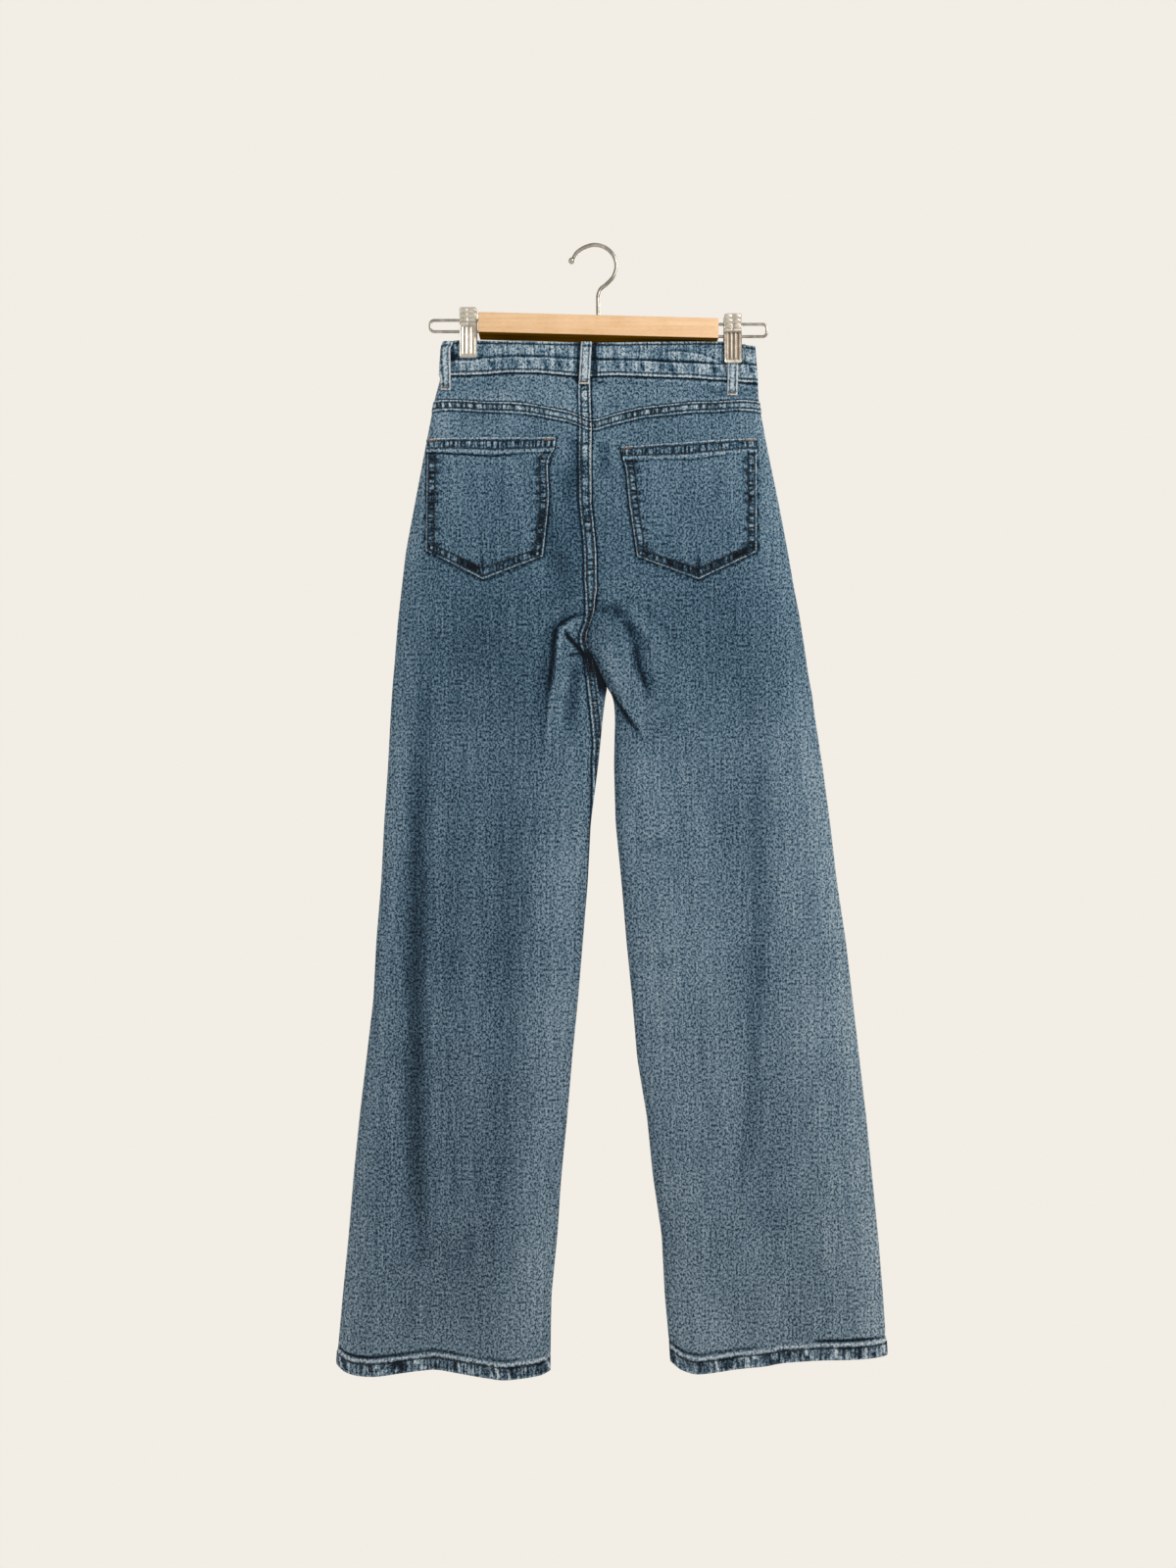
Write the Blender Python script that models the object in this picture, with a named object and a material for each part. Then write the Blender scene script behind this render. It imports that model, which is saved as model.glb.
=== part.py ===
"""Wide-leg jeans, clipped by the waistband to a small wooden trouser hanger.

The row's origin is the inside top of the hook. The back of the garment faces -Y, +Z is up, and
the wearer's left is at -X. Every size below is in millimetres; meshes are written in metres.
"""

import math
from collections import namedtuple

import bmesh
import bpy
import numpy as np
from mathutils import Vector
from mathutils.bvhtree import BVHTree

MM = 0.001

# Cloth
PANEL_WALL = 1.8        # denim panel with its seam allowances pressed in
BAND_WALL = 3.0         # waistband: two layers of denim and their turned edges
BAND_PROUD = 0.8        # how far the waistband stands out from the panels below it
LAP_PROUD = 0.8         # felled seam, raised over the panel
LAP_WIDTH = 12.0        # felled centre back seam and inseam
YOKE_LAP_WIDTH = 11.0   # felled yoke seam
INSEAM_HIDDEN = -620.0  # below this the left inseam has turned round the leg's inner edge
FLY_WIDTH = 38.0        # double cloth beside the closed fly
FLY_FOOT = -300.0
FLY_PROUD = 0.6
HEM_DEPTH = 13.0
HEM_PROUD = 1.0
SEAM_GAP = 0.3          # between any two pieces
HALF_GAP = SEAM_GAP / 2
FRONT_WAIST_GAP = 0.9   # more where the seam curves
PATCH_GAP = 0.4         # under a pocket or a belt loop
POCKET_WALL = 1.6
POCKET_HEM = 14.0
LOOP_WALL = 1.6

# Hollow of the hung garment
WAIST_PINCH = 2.5       # half depth of the panels where a clip squeezes them
WAIST_LEVEL = -133.0
HIP_LEVEL = -215.0      # from here down the clips no longer flatten the cloth
CROTCH_LEVEL = -413.0
HEM_LEVEL = -1142.0
FRONT_DIP = 14.0        # the front waistband sags this much between the clips
WAIST_END_ROUND = 6.0   # width of the rounded fold at the waist's two ends
LEG_END_ROUND = 55.0    # width over which a hanging leg rounds off to its fold

# Hanger
HOOK_WIRE = 4.0
RAIL_WIRE = 3.0
BAR_LEFT = -117.7
BAR_RIGHT = 125.6
BAR_HEIGHT = 20.5
BAR_DEPTH = 24.0
BAR_TOP_LEFT = -70.4
BAR_TOP_RIGHT = -76.7
CLIP_WIDTH = 17.5
CLIP_SHEET = 1.2

CLIP_LEFT_X = -128.5
CLIP_RIGHT_X = 140.8

# The garment's outline and hollow: its side folds, the inner edges of the legs (above the crotch,
# the centre seam) and how far the back and front layers stand from the middle plane.
Section = namedtuple("Section", "z left_side left_inner right_inner right_side back front")
SECTIONS = (
    Section(-94, -154.0, -4.0, -4.0, 163.5, 5.5, 12.0),
    Section(-120, -155.5, -4.0, -4.0, 165.5, 7.0, 13.0),
    Section(-132, -156.5, -4.0, -4.0, 166.5, 8.0, 13.5),
    Section(-156, -163.0, -4.0, -4.0, 167.5, 10.5, 14.0),
    Section(-180, -167.5, -3.0, -3.0, 171.5, 12.5, 14.5),
    Section(-216, -174.5, -3.5, -3.5, 178.5, 14.5, 15.0),
    Section(-264, -183.5, -3.0, -3.0, 188.5, 16.0, 16.0),
    Section(-312, -192.5, 2.0, 2.0, 197.5, 16.5, 16.0),
    Section(-360, -197.5, 3.0, 3.0, 205.5, 17.0, 16.0),
    Section(-384, -200.5, 1.0, 1.0, 210.5, 17.0, 16.0),
    Section(-413, -203.0, -1.0, -1.0, 215.0, 16.5, 15.5),
    Section(-432, -204.5, 4.0, 8.0, 217.5, 16.0, 15.0),
    Section(-456, -206.5, 10.0, 14.5, 222.0, 15.5, 14.5),
    Section(-480, -208.0, 9.0, 19.0, 225.0, 15.0, 14.5),
    Section(-528, -210.5, 3.5, 19.5, 232.5, 15.0, 14.0),
    Section(-588, -214.5, -3.5, 21.5, 240.5, 15.0, 14.0),
    Section(-648, -217.5, -6.5, 27.5, 247.5, 15.0, 14.0),
    Section(-708, -222.5, -11.5, 32.5, 256.5, 15.0, 14.0),
    Section(-768, -225.5, -16.5, 38.5, 263.5, 15.0, 14.0),
    Section(-828, -232.5, -22.5, 43.5, 270.5, 15.0, 14.0),
    Section(-888, -239.5, -27.5, 53.5, 277.5, 15.0, 14.0),
    Section(-948, -245.5, -33.5, 59.5, 283.5, 15.0, 14.0),
    Section(-1008, -250.5, -37.5, 68.5, 289.5, 15.0, 14.0),
    Section(-1068, -256.5, -43.5, 71.5, 294.5, 15.0, 14.0),
    Section(-1124, -261.5, -44.5, 76.5, 298.0, 15.0, 14.0),
    Section(-1150, -262.5, -44.5, 78.0, 300.0, 15.0, 14.0),
)

# Lines across the garment, as the height of each at a few places along X
LinePoint = namedtuple("LinePoint", "x z")
WAIST_TOP = (
    LinePoint(-157, -99.0), LinePoint(-137, -96.0), LinePoint(-67, -98.5), LinePoint(0, -100.0),
    LinePoint(98, -98.5), LinePoint(132, -97.5), LinePoint(150, -100.5), LinePoint(166, -102.5),
)
WAIST_SEAM = (
    LinePoint(-157, -133.0), LinePoint(-91, -131.0), LinePoint(-55, -131.5), LinePoint(-10, -136.0),
    LinePoint(21, -134.0), LinePoint(85, -136.5), LinePoint(134, -137.5), LinePoint(167, -141.0),
)
YOKE_SEAM = (
    LinePoint(-168, -158.5), LinePoint(-139, -157.5), LinePoint(-67, -163.0), LinePoint(-25, -171.5),
    LinePoint(-2, -181.0), LinePoint(21, -173.5), LinePoint(47, -167.0), LinePoint(97, -161.5),
    LinePoint(148, -157.5), LinePoint(172, -159.0),
)
HEM_LINE = (
    LinePoint(-263, -1139.0), LinePoint(-245, -1144.0), LinePoint(-183, -1141.0),
    LinePoint(-162, -1140.0),
    LinePoint(-92, -1147.0), LinePoint(-44, -1146.0), LinePoint(76, -1137.0), LinePoint(99, -1143.0),
    LinePoint(142, -1138.0), LinePoint(189, -1133.0), LinePoint(237, -1130.5), LinePoint(300, -1129.0),
)

# Folds: a line of points on the cloth, its height (outward, or inward where negative), and how wide
# it fades to the left and to the right of the way along the line.
Fold = namedtuple("Fold", "face height left right points")
FOLDS = (
    # tucks at the back of the crotch
    Fold("back", 7.5, 22, 7, (
        (-4, -379), (-18, -382), (-29, -388), (-36, -395), (-39, -418), (-41, -448), (-43, -480),
    )),
    Fold("back", 8.0, 28, 8, ((3, -420), (12, -440), (22, -460), (33, -474), (44, -489), (53, -512))),
    Fold("back", -2.5, 8, 8, ((-28, -396), (-16, -409))),
    Fold("back", -2.0, 12, 12, ((40, -388), (44, -418), (58, -458))),
    # long soft troughs and ridges down the back of the legs
    Fold("back", -4.5, 20, 24, ((-170, -360), (-184, -520), (-198, -820), (-214, -1040))),
    Fold("back", 3.0, 26, 30, ((-120, -480), (-124, -720), (-132, -980))),
    Fold("back", -3.0, 26, 26, ((-78, -560), (-86, -800), (-100, -1050))),
    Fold("back", -3.5, 26, 28, ((128, -470), (150, -700), (176, -980))),
    Fold("back", 3.0, 28, 28, ((186, -420), (212, -700), (236, -1000))),
    Fold("back", -2.5, 16, 18, ((-62, -236), (-44, -300), (-34, -352))),
    # the front hangs in like folds
    Fold("front", 4.5, 22, 10, ((6, -408), (34, -398), (66, -380), (92, -360))),
    Fold("front", 4.5, 10, 22, ((-8, -410), (-38, -402), (-70, -386), (-96, -368))),
    Fold("front", -3.5, 26, 28, ((-128, -420), (-146, -700), (-172, -1020))),
    Fold("front", 3.0, 28, 28, ((-72, -520), (-88, -780), (-106, -1040))),
    Fold("front", -3.5, 26, 28, ((124, -440), (152, -720), (184, -1020))),
    Fold("front", 3.0, 28, 28, ((196, -400), (222, -700), (248, -1000))),
)

# The hems swing to and fro: the shift of both layers along Y at the bottom edge
WavePoint = namedtuple("WavePoint", "x y")
HEM_WAVE = (
    WavePoint(-263, 0.0), WavePoint(-225, -5.0), WavePoint(-160, 5.0), WavePoint(-92, -5.0),
    WavePoint(-44, 0.0), WavePoint(76, 0.0), WavePoint(105, -4.0), WavePoint(160, 2.0),
    WavePoint(225, 4.0), WavePoint(300, 0.0),
)
HEM_WAVE_REACH = 420.0


def along(points, x, x_name, y_name):
    """Height of a line of named points at x."""
    return float(np.interp(x, [getattr(p, x_name) for p in points], [getattr(p, y_name) for p in points]))


def section(name, z):
    """One column of the outline table at height z."""
    return float(np.interp(-z, [-row.z for row in SECTIONS], [getattr(row, name) for row in SECTIONS]))


def ease(value, start, end):
    """0 at start, 1 at end, smooth between."""
    t = min(max((value - start) / (end - start), 0.0), 1.0)
    return t * t * (3 - 2 * t)


def rounded_end(distance, width):
    """Quarter ellipse: 0 at a fold, 1 at the given width from it."""
    if distance >= width:
        return 1.0
    return math.sqrt(max(0.0, 1 - (1 - max(distance, 0.0) / width) ** 2))


def fold_height(face, x, z):
    """Sum of the folds of one face at a place on it."""
    total = 0.0
    here = Vector((x, z))
    for fold in FOLDS:
        if fold.face != face:
            continue
        best = None
        for start, end in zip(fold.points, fold.points[1:]):
            a, b = Vector(start), Vector(end)
            run = b - a
            t = (here - a).dot(run) / run.length_squared
            near = a + run * min(max(t, 0.0), 1.0)
            gap = here - near
            side = run.x * gap.y - run.y * gap.x
            if best is None or gap.length < best[0]:
                best = (gap.length, side)
        width = fold.left if best[1] > 0 else fold.right
        total += fold.height * (1 - ease(best[0], 0.0, width * 1.6))
    return total


def hem_shift(x, z):
    """Swing of the cloth along Y, largest at the bottom edge."""
    return along(HEM_WAVE, x, "x", "y") * ease(z, HEM_LEVEL + HEM_WAVE_REACH, HEM_LEVEL)


def pinch(x, z):
    """1 where a clip flattens the cloth, 0 away from it."""
    nearest = min(abs(x - CLIP_LEFT_X), abs(x - CLIP_RIGHT_X))
    return (1 - ease(nearest, 10.0, 48.0)) * (1 - ease(z, WAIST_LEVEL + 10, HIP_LEVEL))


def leg_edges(side, z):
    """Outer fold and inner edge of one half of the garment."""
    outer = section(side + "_side", z)
    inner = section(side + "_inner", z)
    return outer, inner + (-HALF_GAP if side == "left" else HALF_GAP)


def skin_y(face, side, x, z):
    """Distance of the cloth's outer face from the middle plane."""
    outer, inner = leg_edges(side, z)
    depth = section(face, z)
    flat = pinch(x, z)
    depth = depth + (WAIST_PINCH - depth) * flat
    soft = ease(z, WAIST_LEVEL, HIP_LEVEL)
    end_round = WAIST_END_ROUND + (LEG_END_ROUND - WAIST_END_ROUND) * soft
    rounding = rounded_end(abs(x - outer), end_round)
    parted = ease(z, CROTCH_LEVEL + 75, CROTCH_LEVEL)
    inner_rounding = 1 + (rounded_end(abs(inner - x), LEG_END_ROUND) - 1) * parted
    fade = ease(abs(x - outer), 0.0, 22.0) * (1 - parted * (1 - ease(abs(inner - x), 0.0, 10.0)))
    return HALF_GAP + depth * rounding * inner_rounding + fold_height(face, x, z) * fade


def skin_point(face, side, x, z, lift=0.0):
    """A point of the cloth's outer face, moved out of the cloth by lift."""
    outward = -1.0 if face == "back" else 1.0
    step = 0.6
    slope = (skin_y(face, side, x + step, z) - skin_y(face, side, x - step, z)) / (2 * step)
    outer, inner = leg_edges(side, z)
    toward = 1.0 if inner > outer else -1.0
    if abs(x - outer) < step:
        slope = toward * skin_y(face, side, outer + toward * 2 * step, z) / (2 * step)
        slope *= 4.0 if abs(x - outer) < 0.1 else 1.5
    length = math.hypot(slope, 1.0)
    y = max(skin_y(face, side, x, z) + lift / length, HALF_GAP)
    x_out = x - slope * lift / length
    if side == "left":
        x_out = min(x_out, inner)
    else:
        x_out = max(x_out, inner)
    return Vector((x_out, outward * y + hem_shift(x, z), z))


# Colours, as seen
def linear(hex_colour):
    """Linear red, green, blue and alpha of an sRGB hex colour."""
    channels = [int(hex_colour[i:i + 2], 16) / 255 for i in (1, 3, 5)]
    return [c / 12.92 if c <= 0.04045 else ((c + 0.055) / 1.055) ** 2.4 for c in channels] + [1.0]


def material(name, hex_colour, roughness, metallic=0.0):
    """A plain surface of one colour, made once for each name."""
    found = bpy.data.materials.get(name)
    if found:
        return found
    made = bpy.data.materials.new(name)
    made.use_nodes = True
    shader = made.node_tree.nodes["Principled BSDF"]
    shader.inputs["Base Color"].default_value = linear(hex_colour)
    shader.inputs["Roughness"].default_value = roughness
    shader.inputs["Metallic"].default_value = metallic
    return made


def add_object(name, mesh, surface, smooth_angle=35.0):
    """Put a finished mesh in the scene."""
    mesh.materials.append(surface)
    mesh.shade_smooth()
    mesh.set_sharp_from_angle(angle=math.radians(smooth_angle))
    made = bpy.data.objects.new(name, mesh)
    bpy.context.scene.collection.objects.link(made)
    return made


def add_wall(name, outside, inside, surface):
    """A closed wall between two grids of points, each a list of rows."""
    rows, columns = len(outside), len(outside[0])
    bm = bmesh.new()
    bmesh.ops.create_grid(bm, x_segments=columns - 1, y_segments=rows - 1, size=0.5)
    place = bm.verts.layers.int.new("place")
    for vert in bm.verts:
        column = round((vert.co.x + 0.5) * (columns - 1))
        row = round((vert.co.y + 0.5) * (rows - 1))
        vert[place] = row * columns + column
    made = bmesh.ops.extrude_face_region(bm, geom=bm.faces[:])
    lifted = {item for item in made["geom"] if isinstance(item, bmesh.types.BMVert)}
    for vert in bm.verts:
        row, column = divmod(vert[place], columns)
        grid = outside if vert in lifted else inside
        vert.co = grid[row][column] * MM
    bmesh.ops.recalc_face_normals(bm, faces=bm.faces[:])
    if bm.calc_volume(signed=True) < 0:
        bmesh.ops.reverse_faces(bm, faces=bm.faces[:])
    mesh = bpy.data.meshes.new(name)
    bm.to_mesh(mesh)
    bm.free()
    return add_object(name, mesh, surface)


def surface_tree(name):
    """The finished surface of a piece, for laying another on it."""
    mesh = bpy.data.objects[name].data
    return BVHTree.FromPolygons([v.co for v in mesh.vertices], [p.vertices for p in mesh.polygons])


def lying_point(trees, face, x, z, reach, lift):
    """A point that clears the surfaces under it, and what stands within reach of it, by lift."""
    outward = -1.0 if face == "back" else 1.0
    highest = 0.0
    for across in (-reach, 0.0, reach):
        for up in (-reach, 0.0, reach):
            start = Vector((x + across, outward * 200.0, z + up)) * MM
            for tree in trees:
                place = tree.ray_cast(start, Vector((0.0, -outward, 0.0)))[0]
                if place is not None:
                    highest = max(highest, outward * place.y / MM)
    return Vector((x, outward * (highest + lift), z))


# Leg panels
OUTER_STEPS = (0.0, 1.0, 4.0, 10.0, 22.0, 38.0)
LAPPED_STEPS = (0.0, 2.5, 7.0, 12.0, 12.6, 20.0, 28.0, 36.0, 45.0, 56.0)
PLAIN_STEPS = (0.0, 2.5, 7.0, 14.0, 22.0, 30.0, 38.0, 46.0, 56.0)
MIDDLE_COLUMNS = 4
YOKE_LEVEL = -165.0
BACK_ROWS = (
    -216, -264, -310, -342, -362, -376, -386, -395, -404, -413, -423, -434, -447, -462, -480,
    -500, -530, -575, -640, -720, -800, -880, -960, -1030, -1085,
)
FRONT_ROWS = (
    -264, -310, -350, -376, -395, -413, -430, -450, -480, -530, -600, -690, -780, -870, -960,
    -1030, -1085,
)


def panel_columns(side, z, outer_steps, inner_steps):
    """X of each column of a panel at height z, from its side fold to its inner edge."""
    outer, inner = leg_edges(side, z)
    toward = 1.0 if inner > outer else -1.0
    from_fold = list(outer_steps)
    from_inner = [abs(inner - outer) - step for step in reversed(inner_steps)]
    start, end = from_fold[-1], from_inner[0]
    middle = [start + (end - start) * i / (MIDDLE_COLUMNS + 1) for i in range(1, MIDDLE_COLUMNS + 1)]
    return [outer + toward * step for step in from_fold + middle + from_inner]


def line_row(side, line, down, level, steps, lift=0.0):
    """One row of a panel along a line across the garment: (x, z, lift) for each column."""
    row = []
    for index, first_x in enumerate(panel_columns(side, level, *steps)):
        z = line(first_x) - down
        row.append((panel_columns(side, z, *steps)[index], z, lift))
    return row


def level_row(side, z, steps):
    """One row of a panel at one height."""
    return [(x, z, 0.0) for x in panel_columns(side, z, *steps)]


def hem_line(x):
    return along(HEM_LINE, x, "x", "z")


def hem_rows(side, steps):
    """The turned hem: a step out of the panel, then down to the bottom edge."""
    return [
        line_row(side, hem_line, -HEM_DEPTH - 0.8, HEM_LEVEL, steps),
        line_row(side, hem_line, -HEM_DEPTH, HEM_LEVEL, steps, HEM_PROUD),
        line_row(side, hem_line, 0.0, HEM_LEVEL, steps, HEM_PROUD),
    ]


def lap_lift(face, side, x, z):
    """How far a felled seam or the fly's double cloth stands out at a place."""
    from_inner = abs(leg_edges(side, z)[1] - x)
    if side == "left" and face == "back" and from_inner < LAP_WIDTH + 0.1:
        return LAP_PROUD * ease(z, INSEAM_HIDDEN - 40.0, INSEAM_HIDDEN)
    if side == "left" and face == "front" and from_inner < FLY_WIDTH + 0.1 and z > FLY_FOOT:
        return FLY_PROUD
    return 0.0


def add_panel(name, face, side, rows, wall, surface):
    """A cloth wall on the garment's skin, with its laps raised in the outer points."""
    outside, inside = [], []
    for row in rows:
        outside.append([])
        for x, z, lift in row:
            raised = max(lift, lap_lift(face, side, x, z))
            outside[-1].append(skin_point(face, side, x, z, raised))
        inside.append([skin_point(face, side, x, z, -wall) for x, z, lift in row])
    return add_wall(name, outside, inside, surface)


def waist_line(x):
    return along(WAIST_SEAM, x, "x", "z")


def front_dip(x):
    """How far the front sags below the back between the clips."""
    centre = (CLIP_LEFT_X + CLIP_RIGHT_X) / 2
    reach = (CLIP_RIGHT_X - CLIP_LEFT_X) / 2 - CLIP_WIDTH
    t = min(abs(x - centre) / reach, 1.0)
    return FRONT_DIP * (1 - t * t) ** 2


def front_waist_line(x):
    return waist_line(x) - front_dip(x) - FRONT_WAIST_GAP


def yoke_line(x):
    return along(YOKE_SEAM, x, "x", "z")


# Front pocket mouths: a quarter ellipse from the waist seam down to the side fold
MOUTH_WIDTH = 82.0
MOUTH_DEPTH = 76.0
MOUTH_STEPS = (0.0, 1.0, 4.0, 10.0, 22.0, 38.0, 54.0, 68.0, 77.0, MOUTH_WIDTH)
MOUTH_GAP = 1.0
MOUTH_FOOT = -246.0     # the front panel's rows are level from here down


def mouth_line(side, x):
    """Top edge of the front panel, scooped at the pocket mouth."""
    outer = section(side + "_side", WAIST_LEVEL - MOUTH_DEPTH / 2)
    drops = [MOUTH_DEPTH * math.sqrt(1 - (step / MOUTH_WIDTH) ** 2) for step in MOUTH_STEPS]
    return front_waist_line(x) - float(np.interp(abs(x - outer), MOUTH_STEPS, drops))


def add_back_panels(denim):
    """Back leg panels, from the yoke seam's upper edge to the hem."""
    for side, inner_steps in (("left", LAPPED_STEPS), ("right", PLAIN_STEPS)):
        steps = (OUTER_STEPS, inner_steps)
        rows = [
            line_row(side, yoke_line, SEAM_GAP, YOKE_LEVEL, steps, LAP_PROUD),
            line_row(side, yoke_line, YOKE_LAP_WIDTH, YOKE_LEVEL, steps, LAP_PROUD),
            line_row(side, yoke_line, YOKE_LAP_WIDTH + 0.6, YOKE_LEVEL, steps),
        ]
        rows += [level_row(side, z, steps) for z in BACK_ROWS]
        rows += hem_rows(side, steps)
        add_panel("back_" + side, "back", side, rows, PANEL_WALL, denim)


def add_yokes(denim):
    """Back yokes, between the waistband and the back panels."""
    for side, inner_steps in (("left", LAPPED_STEPS), ("right", PLAIN_STEPS)):
        steps = (OUTER_STEPS, inner_steps)
        rows = []
        for share in (0.0, 0.4, 1.0):
            def between(x, share=share):
                return (waist_line(x) - SEAM_GAP) * (1 - share) + yoke_line(x) * share
            level = WAIST_LEVEL + (YOKE_LEVEL - WAIST_LEVEL) * share
            rows.append(line_row(side, between, 0.0, level, steps))
        add_panel("yoke_" + side, "back", side, rows, PANEL_WALL, denim)


def add_front_panels(denim):
    """Front leg panels, scooped for the pockets and meeting at the closed fly."""
    steps = (MOUTH_STEPS, PLAIN_STEPS)
    for side in ("left", "right"):
        rows = []
        for share in (0.0, 0.5):
            def between(x, share=share):
                return (mouth_line(side, x) - SEAM_GAP) * (1 - share) + MOUTH_FOOT * share
            rows.append(line_row(side, between, 0.0, YOKE_LEVEL, steps))
        rows += [level_row(side, z, steps) for z in FRONT_ROWS]
        rows += hem_rows(side, steps)
        add_panel("front_" + side, "front", side, rows, PANEL_WALL, denim)


def add_pocket_facings(denim):
    """Cloth that closes each front pocket mouth, between the scoop and the waistband."""
    for side in ("left", "right"):
        outer = section(side + "_side", YOKE_LEVEL)
        toward = 1.0 if side == "left" else -1.0
        outside, inside = [], []
        for share in (0.0, 0.5, 1.0):
            outside.append([])
            inside.append([])
            for step in MOUTH_STEPS[:-1] + (MOUTH_WIDTH - 2.0,):
                first_x = outer + toward * step
                top = front_waist_line(first_x) - SEAM_GAP
                z = top + (mouth_line(side, first_x) + MOUTH_GAP - top) * share
                x = leg_edges(side, z)[0] + toward * step
                outside[-1].append(skin_point("front", side, x, z, -0.6))
                inside[-1].append(skin_point("front", side, x, z, -PANEL_WALL))
        add_wall("pocket_facing_" + side, outside, inside, denim)


# Waistband: one strip round the waist, its left end lying over its right end at centre front
BAND_ROUND_STEPS = (0.0, 0.8, 2.4, 5.0, 9.0)
BACK_BAND_X = (-130, -112, -92, -68, -42, -15, 12, 40, 68, 94, 114, 134, 150)
FRONT_BAND_X = (146, 132, 120, 106, 92, 80, 68, 56, 44)
FRONT_BAND_LEFT_X = (-18, -30, -43, -56, -69, -82, -95, -108, -120, -133)
OVERLAP_CENTRE = -3.0
OVERLAP_HALF = 17.0
TUCK_RAMP = 14.0        # the underlap comes up to the outer level over this width
TUCK_END = 0.4


def band_point(face, x, up, lift):
    """A point on the waistband; up is 0 at its lower edge and 1 at its top."""
    side = "left" if x < section("left_inner", WAIST_LEVEL) else "right"
    drop = front_dip(x) if face == "front" else 0.0
    low = waist_line(x) - drop
    high = along(WAIST_TOP, x, "x", "z") - drop
    z = low + (high - low) * up
    outer = leg_edges(side, z)[0]
    base = leg_edges(side, (low + high) / 2)[0]
    point = skin_point(face, side, x + outer - base if abs(x - base) < 12 else x, z, lift)
    return point


def band_stations():
    """Places round the waist, each with its face, X and how deep it is tucked under."""
    left, right = leg_edges("left", -116.0)[0], leg_edges("right", -116.0)[0]
    tuck = BAND_WALL + SEAM_GAP
    stations = [("front", OVERLAP_CENTRE - OVERLAP_HALF, tuck), ("front", OVERLAP_CENTRE, tuck)]
    stations.append(("front", OVERLAP_CENTRE + OVERLAP_HALF, tuck))
    stations.append(("front", OVERLAP_CENTRE + OVERLAP_HALF + TUCK_RAMP, TUCK_END))
    stations += [("front", x, 0.0) for x in reversed(FRONT_BAND_X)]
    stations += [("front", right - step, 0.0) for step in reversed(BAND_ROUND_STEPS)]
    stations += [("back", right - step, 0.0) for step in BAND_ROUND_STEPS[1:]]
    stations += [("back", x, 0.0) for x in reversed(BACK_BAND_X)]
    stations += [("back", left + step, 0.0) for step in reversed(BAND_ROUND_STEPS)]
    stations += [("front", left + step, 0.0) for step in BAND_ROUND_STEPS[1:]]
    stations += [("front", x, 0.0) for x in reversed(FRONT_BAND_LEFT_X)]
    stations += [("front", OVERLAP_CENTRE, 0.0), ("front", OVERLAP_CENTRE + OVERLAP_HALF - 2, 0.0)]
    return stations


def add_waistband(denim):
    """The waistband's wall, worked round its stations."""
    stations = band_stations()
    outside, inside = [], []
    for up in (0.01, 0.35, 0.7, 1.0):
        outside.append([band_point(face, x, up, BAND_PROUD - tuck) for face, x, tuck in stations])
        inside.append([
            band_point(face, x, up, BAND_PROUD - tuck - BAND_WALL) for face, x, tuck in stations
        ])
    add_wall("waistband", outside, inside, denim)


# Back pockets: corners as seen, the top edge first, then down to the point at the middle
Pocket = namedtuple("Pocket", "side top_left top_right low_right point low_left")
POCKETS = (
    Pocket("left", (-165.0, -198.0), (-39.0, -198.5), (-52.5, -318.5), (-113.0, -342.0), (-168.5, -312.5)),
    Pocket("right", (26.5, -208.0), (163.5, -198.0), (163.0, -314.0), (105.0, -342.0), (43.0, -319.0)),
)
POCKET_COLUMNS = 12
POCKET_ROWS = 10
POCKET_REACH = 6.0      # half the spacing of a pocket's points


def add_back_pockets(denim):
    """Patch pockets, a straight top with a turned hem and a pointed foot."""
    for pocket in POCKETS:
        top_left, top_right = Vector(pocket.top_left), Vector(pocket.top_right)
        low_left, low_right = Vector(pocket.low_left), Vector(pocket.low_right)
        foot = Vector(pocket.point)
        middle = (foot - low_left).length / ((foot - low_left).length + (foot - low_right).length)
        shares = [0.0, POCKET_HEM / 122.0, (POCKET_HEM + 0.8) / 122.0]
        shares += [0.12 + 0.88 * i / (POCKET_ROWS - 3) for i in range(1, POCKET_ROWS - 2)]
        under = [surface_tree("back_" + pocket.side)]
        outside, inside = [], []
        for share in shares:
            outside.append([])
            inside.append([])
            for column in range(POCKET_COLUMNS + 1):
                across = column / POCKET_COLUMNS
                top = top_left.lerp(top_right, across)
                if across < middle:
                    low = low_left.lerp(foot, across / middle)
                else:
                    low = foot.lerp(low_right, (across - middle) / (1 - middle))
                x, z = top.lerp(low, share)
                raised = LAP_PROUD if share <= shares[1] else 0.0
                top_lift = PATCH_GAP + POCKET_WALL + raised
                outside[-1].append(lying_point(under, "back", x, z, POCKET_REACH, top_lift))
                inside[-1].append(lying_point(under, "back", x, z, POCKET_REACH, PATCH_GAP))
        add_wall("pocket_back_" + pocket.side, outside, inside, denim)


# Belt loops: their middle, width and the height of their lower ends
Loop = namedtuple("Loop", "name face x low_x width low")
LOOPS = (
    Loop("belt_loop_back", "back", -8.0, -10.5, 11.0, -143.5),
    Loop("belt_loop_back_left", "back", -150.0, -151.5, 9.5, -148.0),
    Loop("belt_loop_back_right", "back", 141.0, 140.2, 10.5, -153.0),
    Loop("belt_loop_front_left", "front", -88.0, -89.0, 10.5, -150.0),
    Loop("belt_loop_front_right", "front", 92.0, 93.0, 10.5, -152.0),
)


LOOP_REACH = 4.5        # half the spacing of a loop's points


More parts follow.
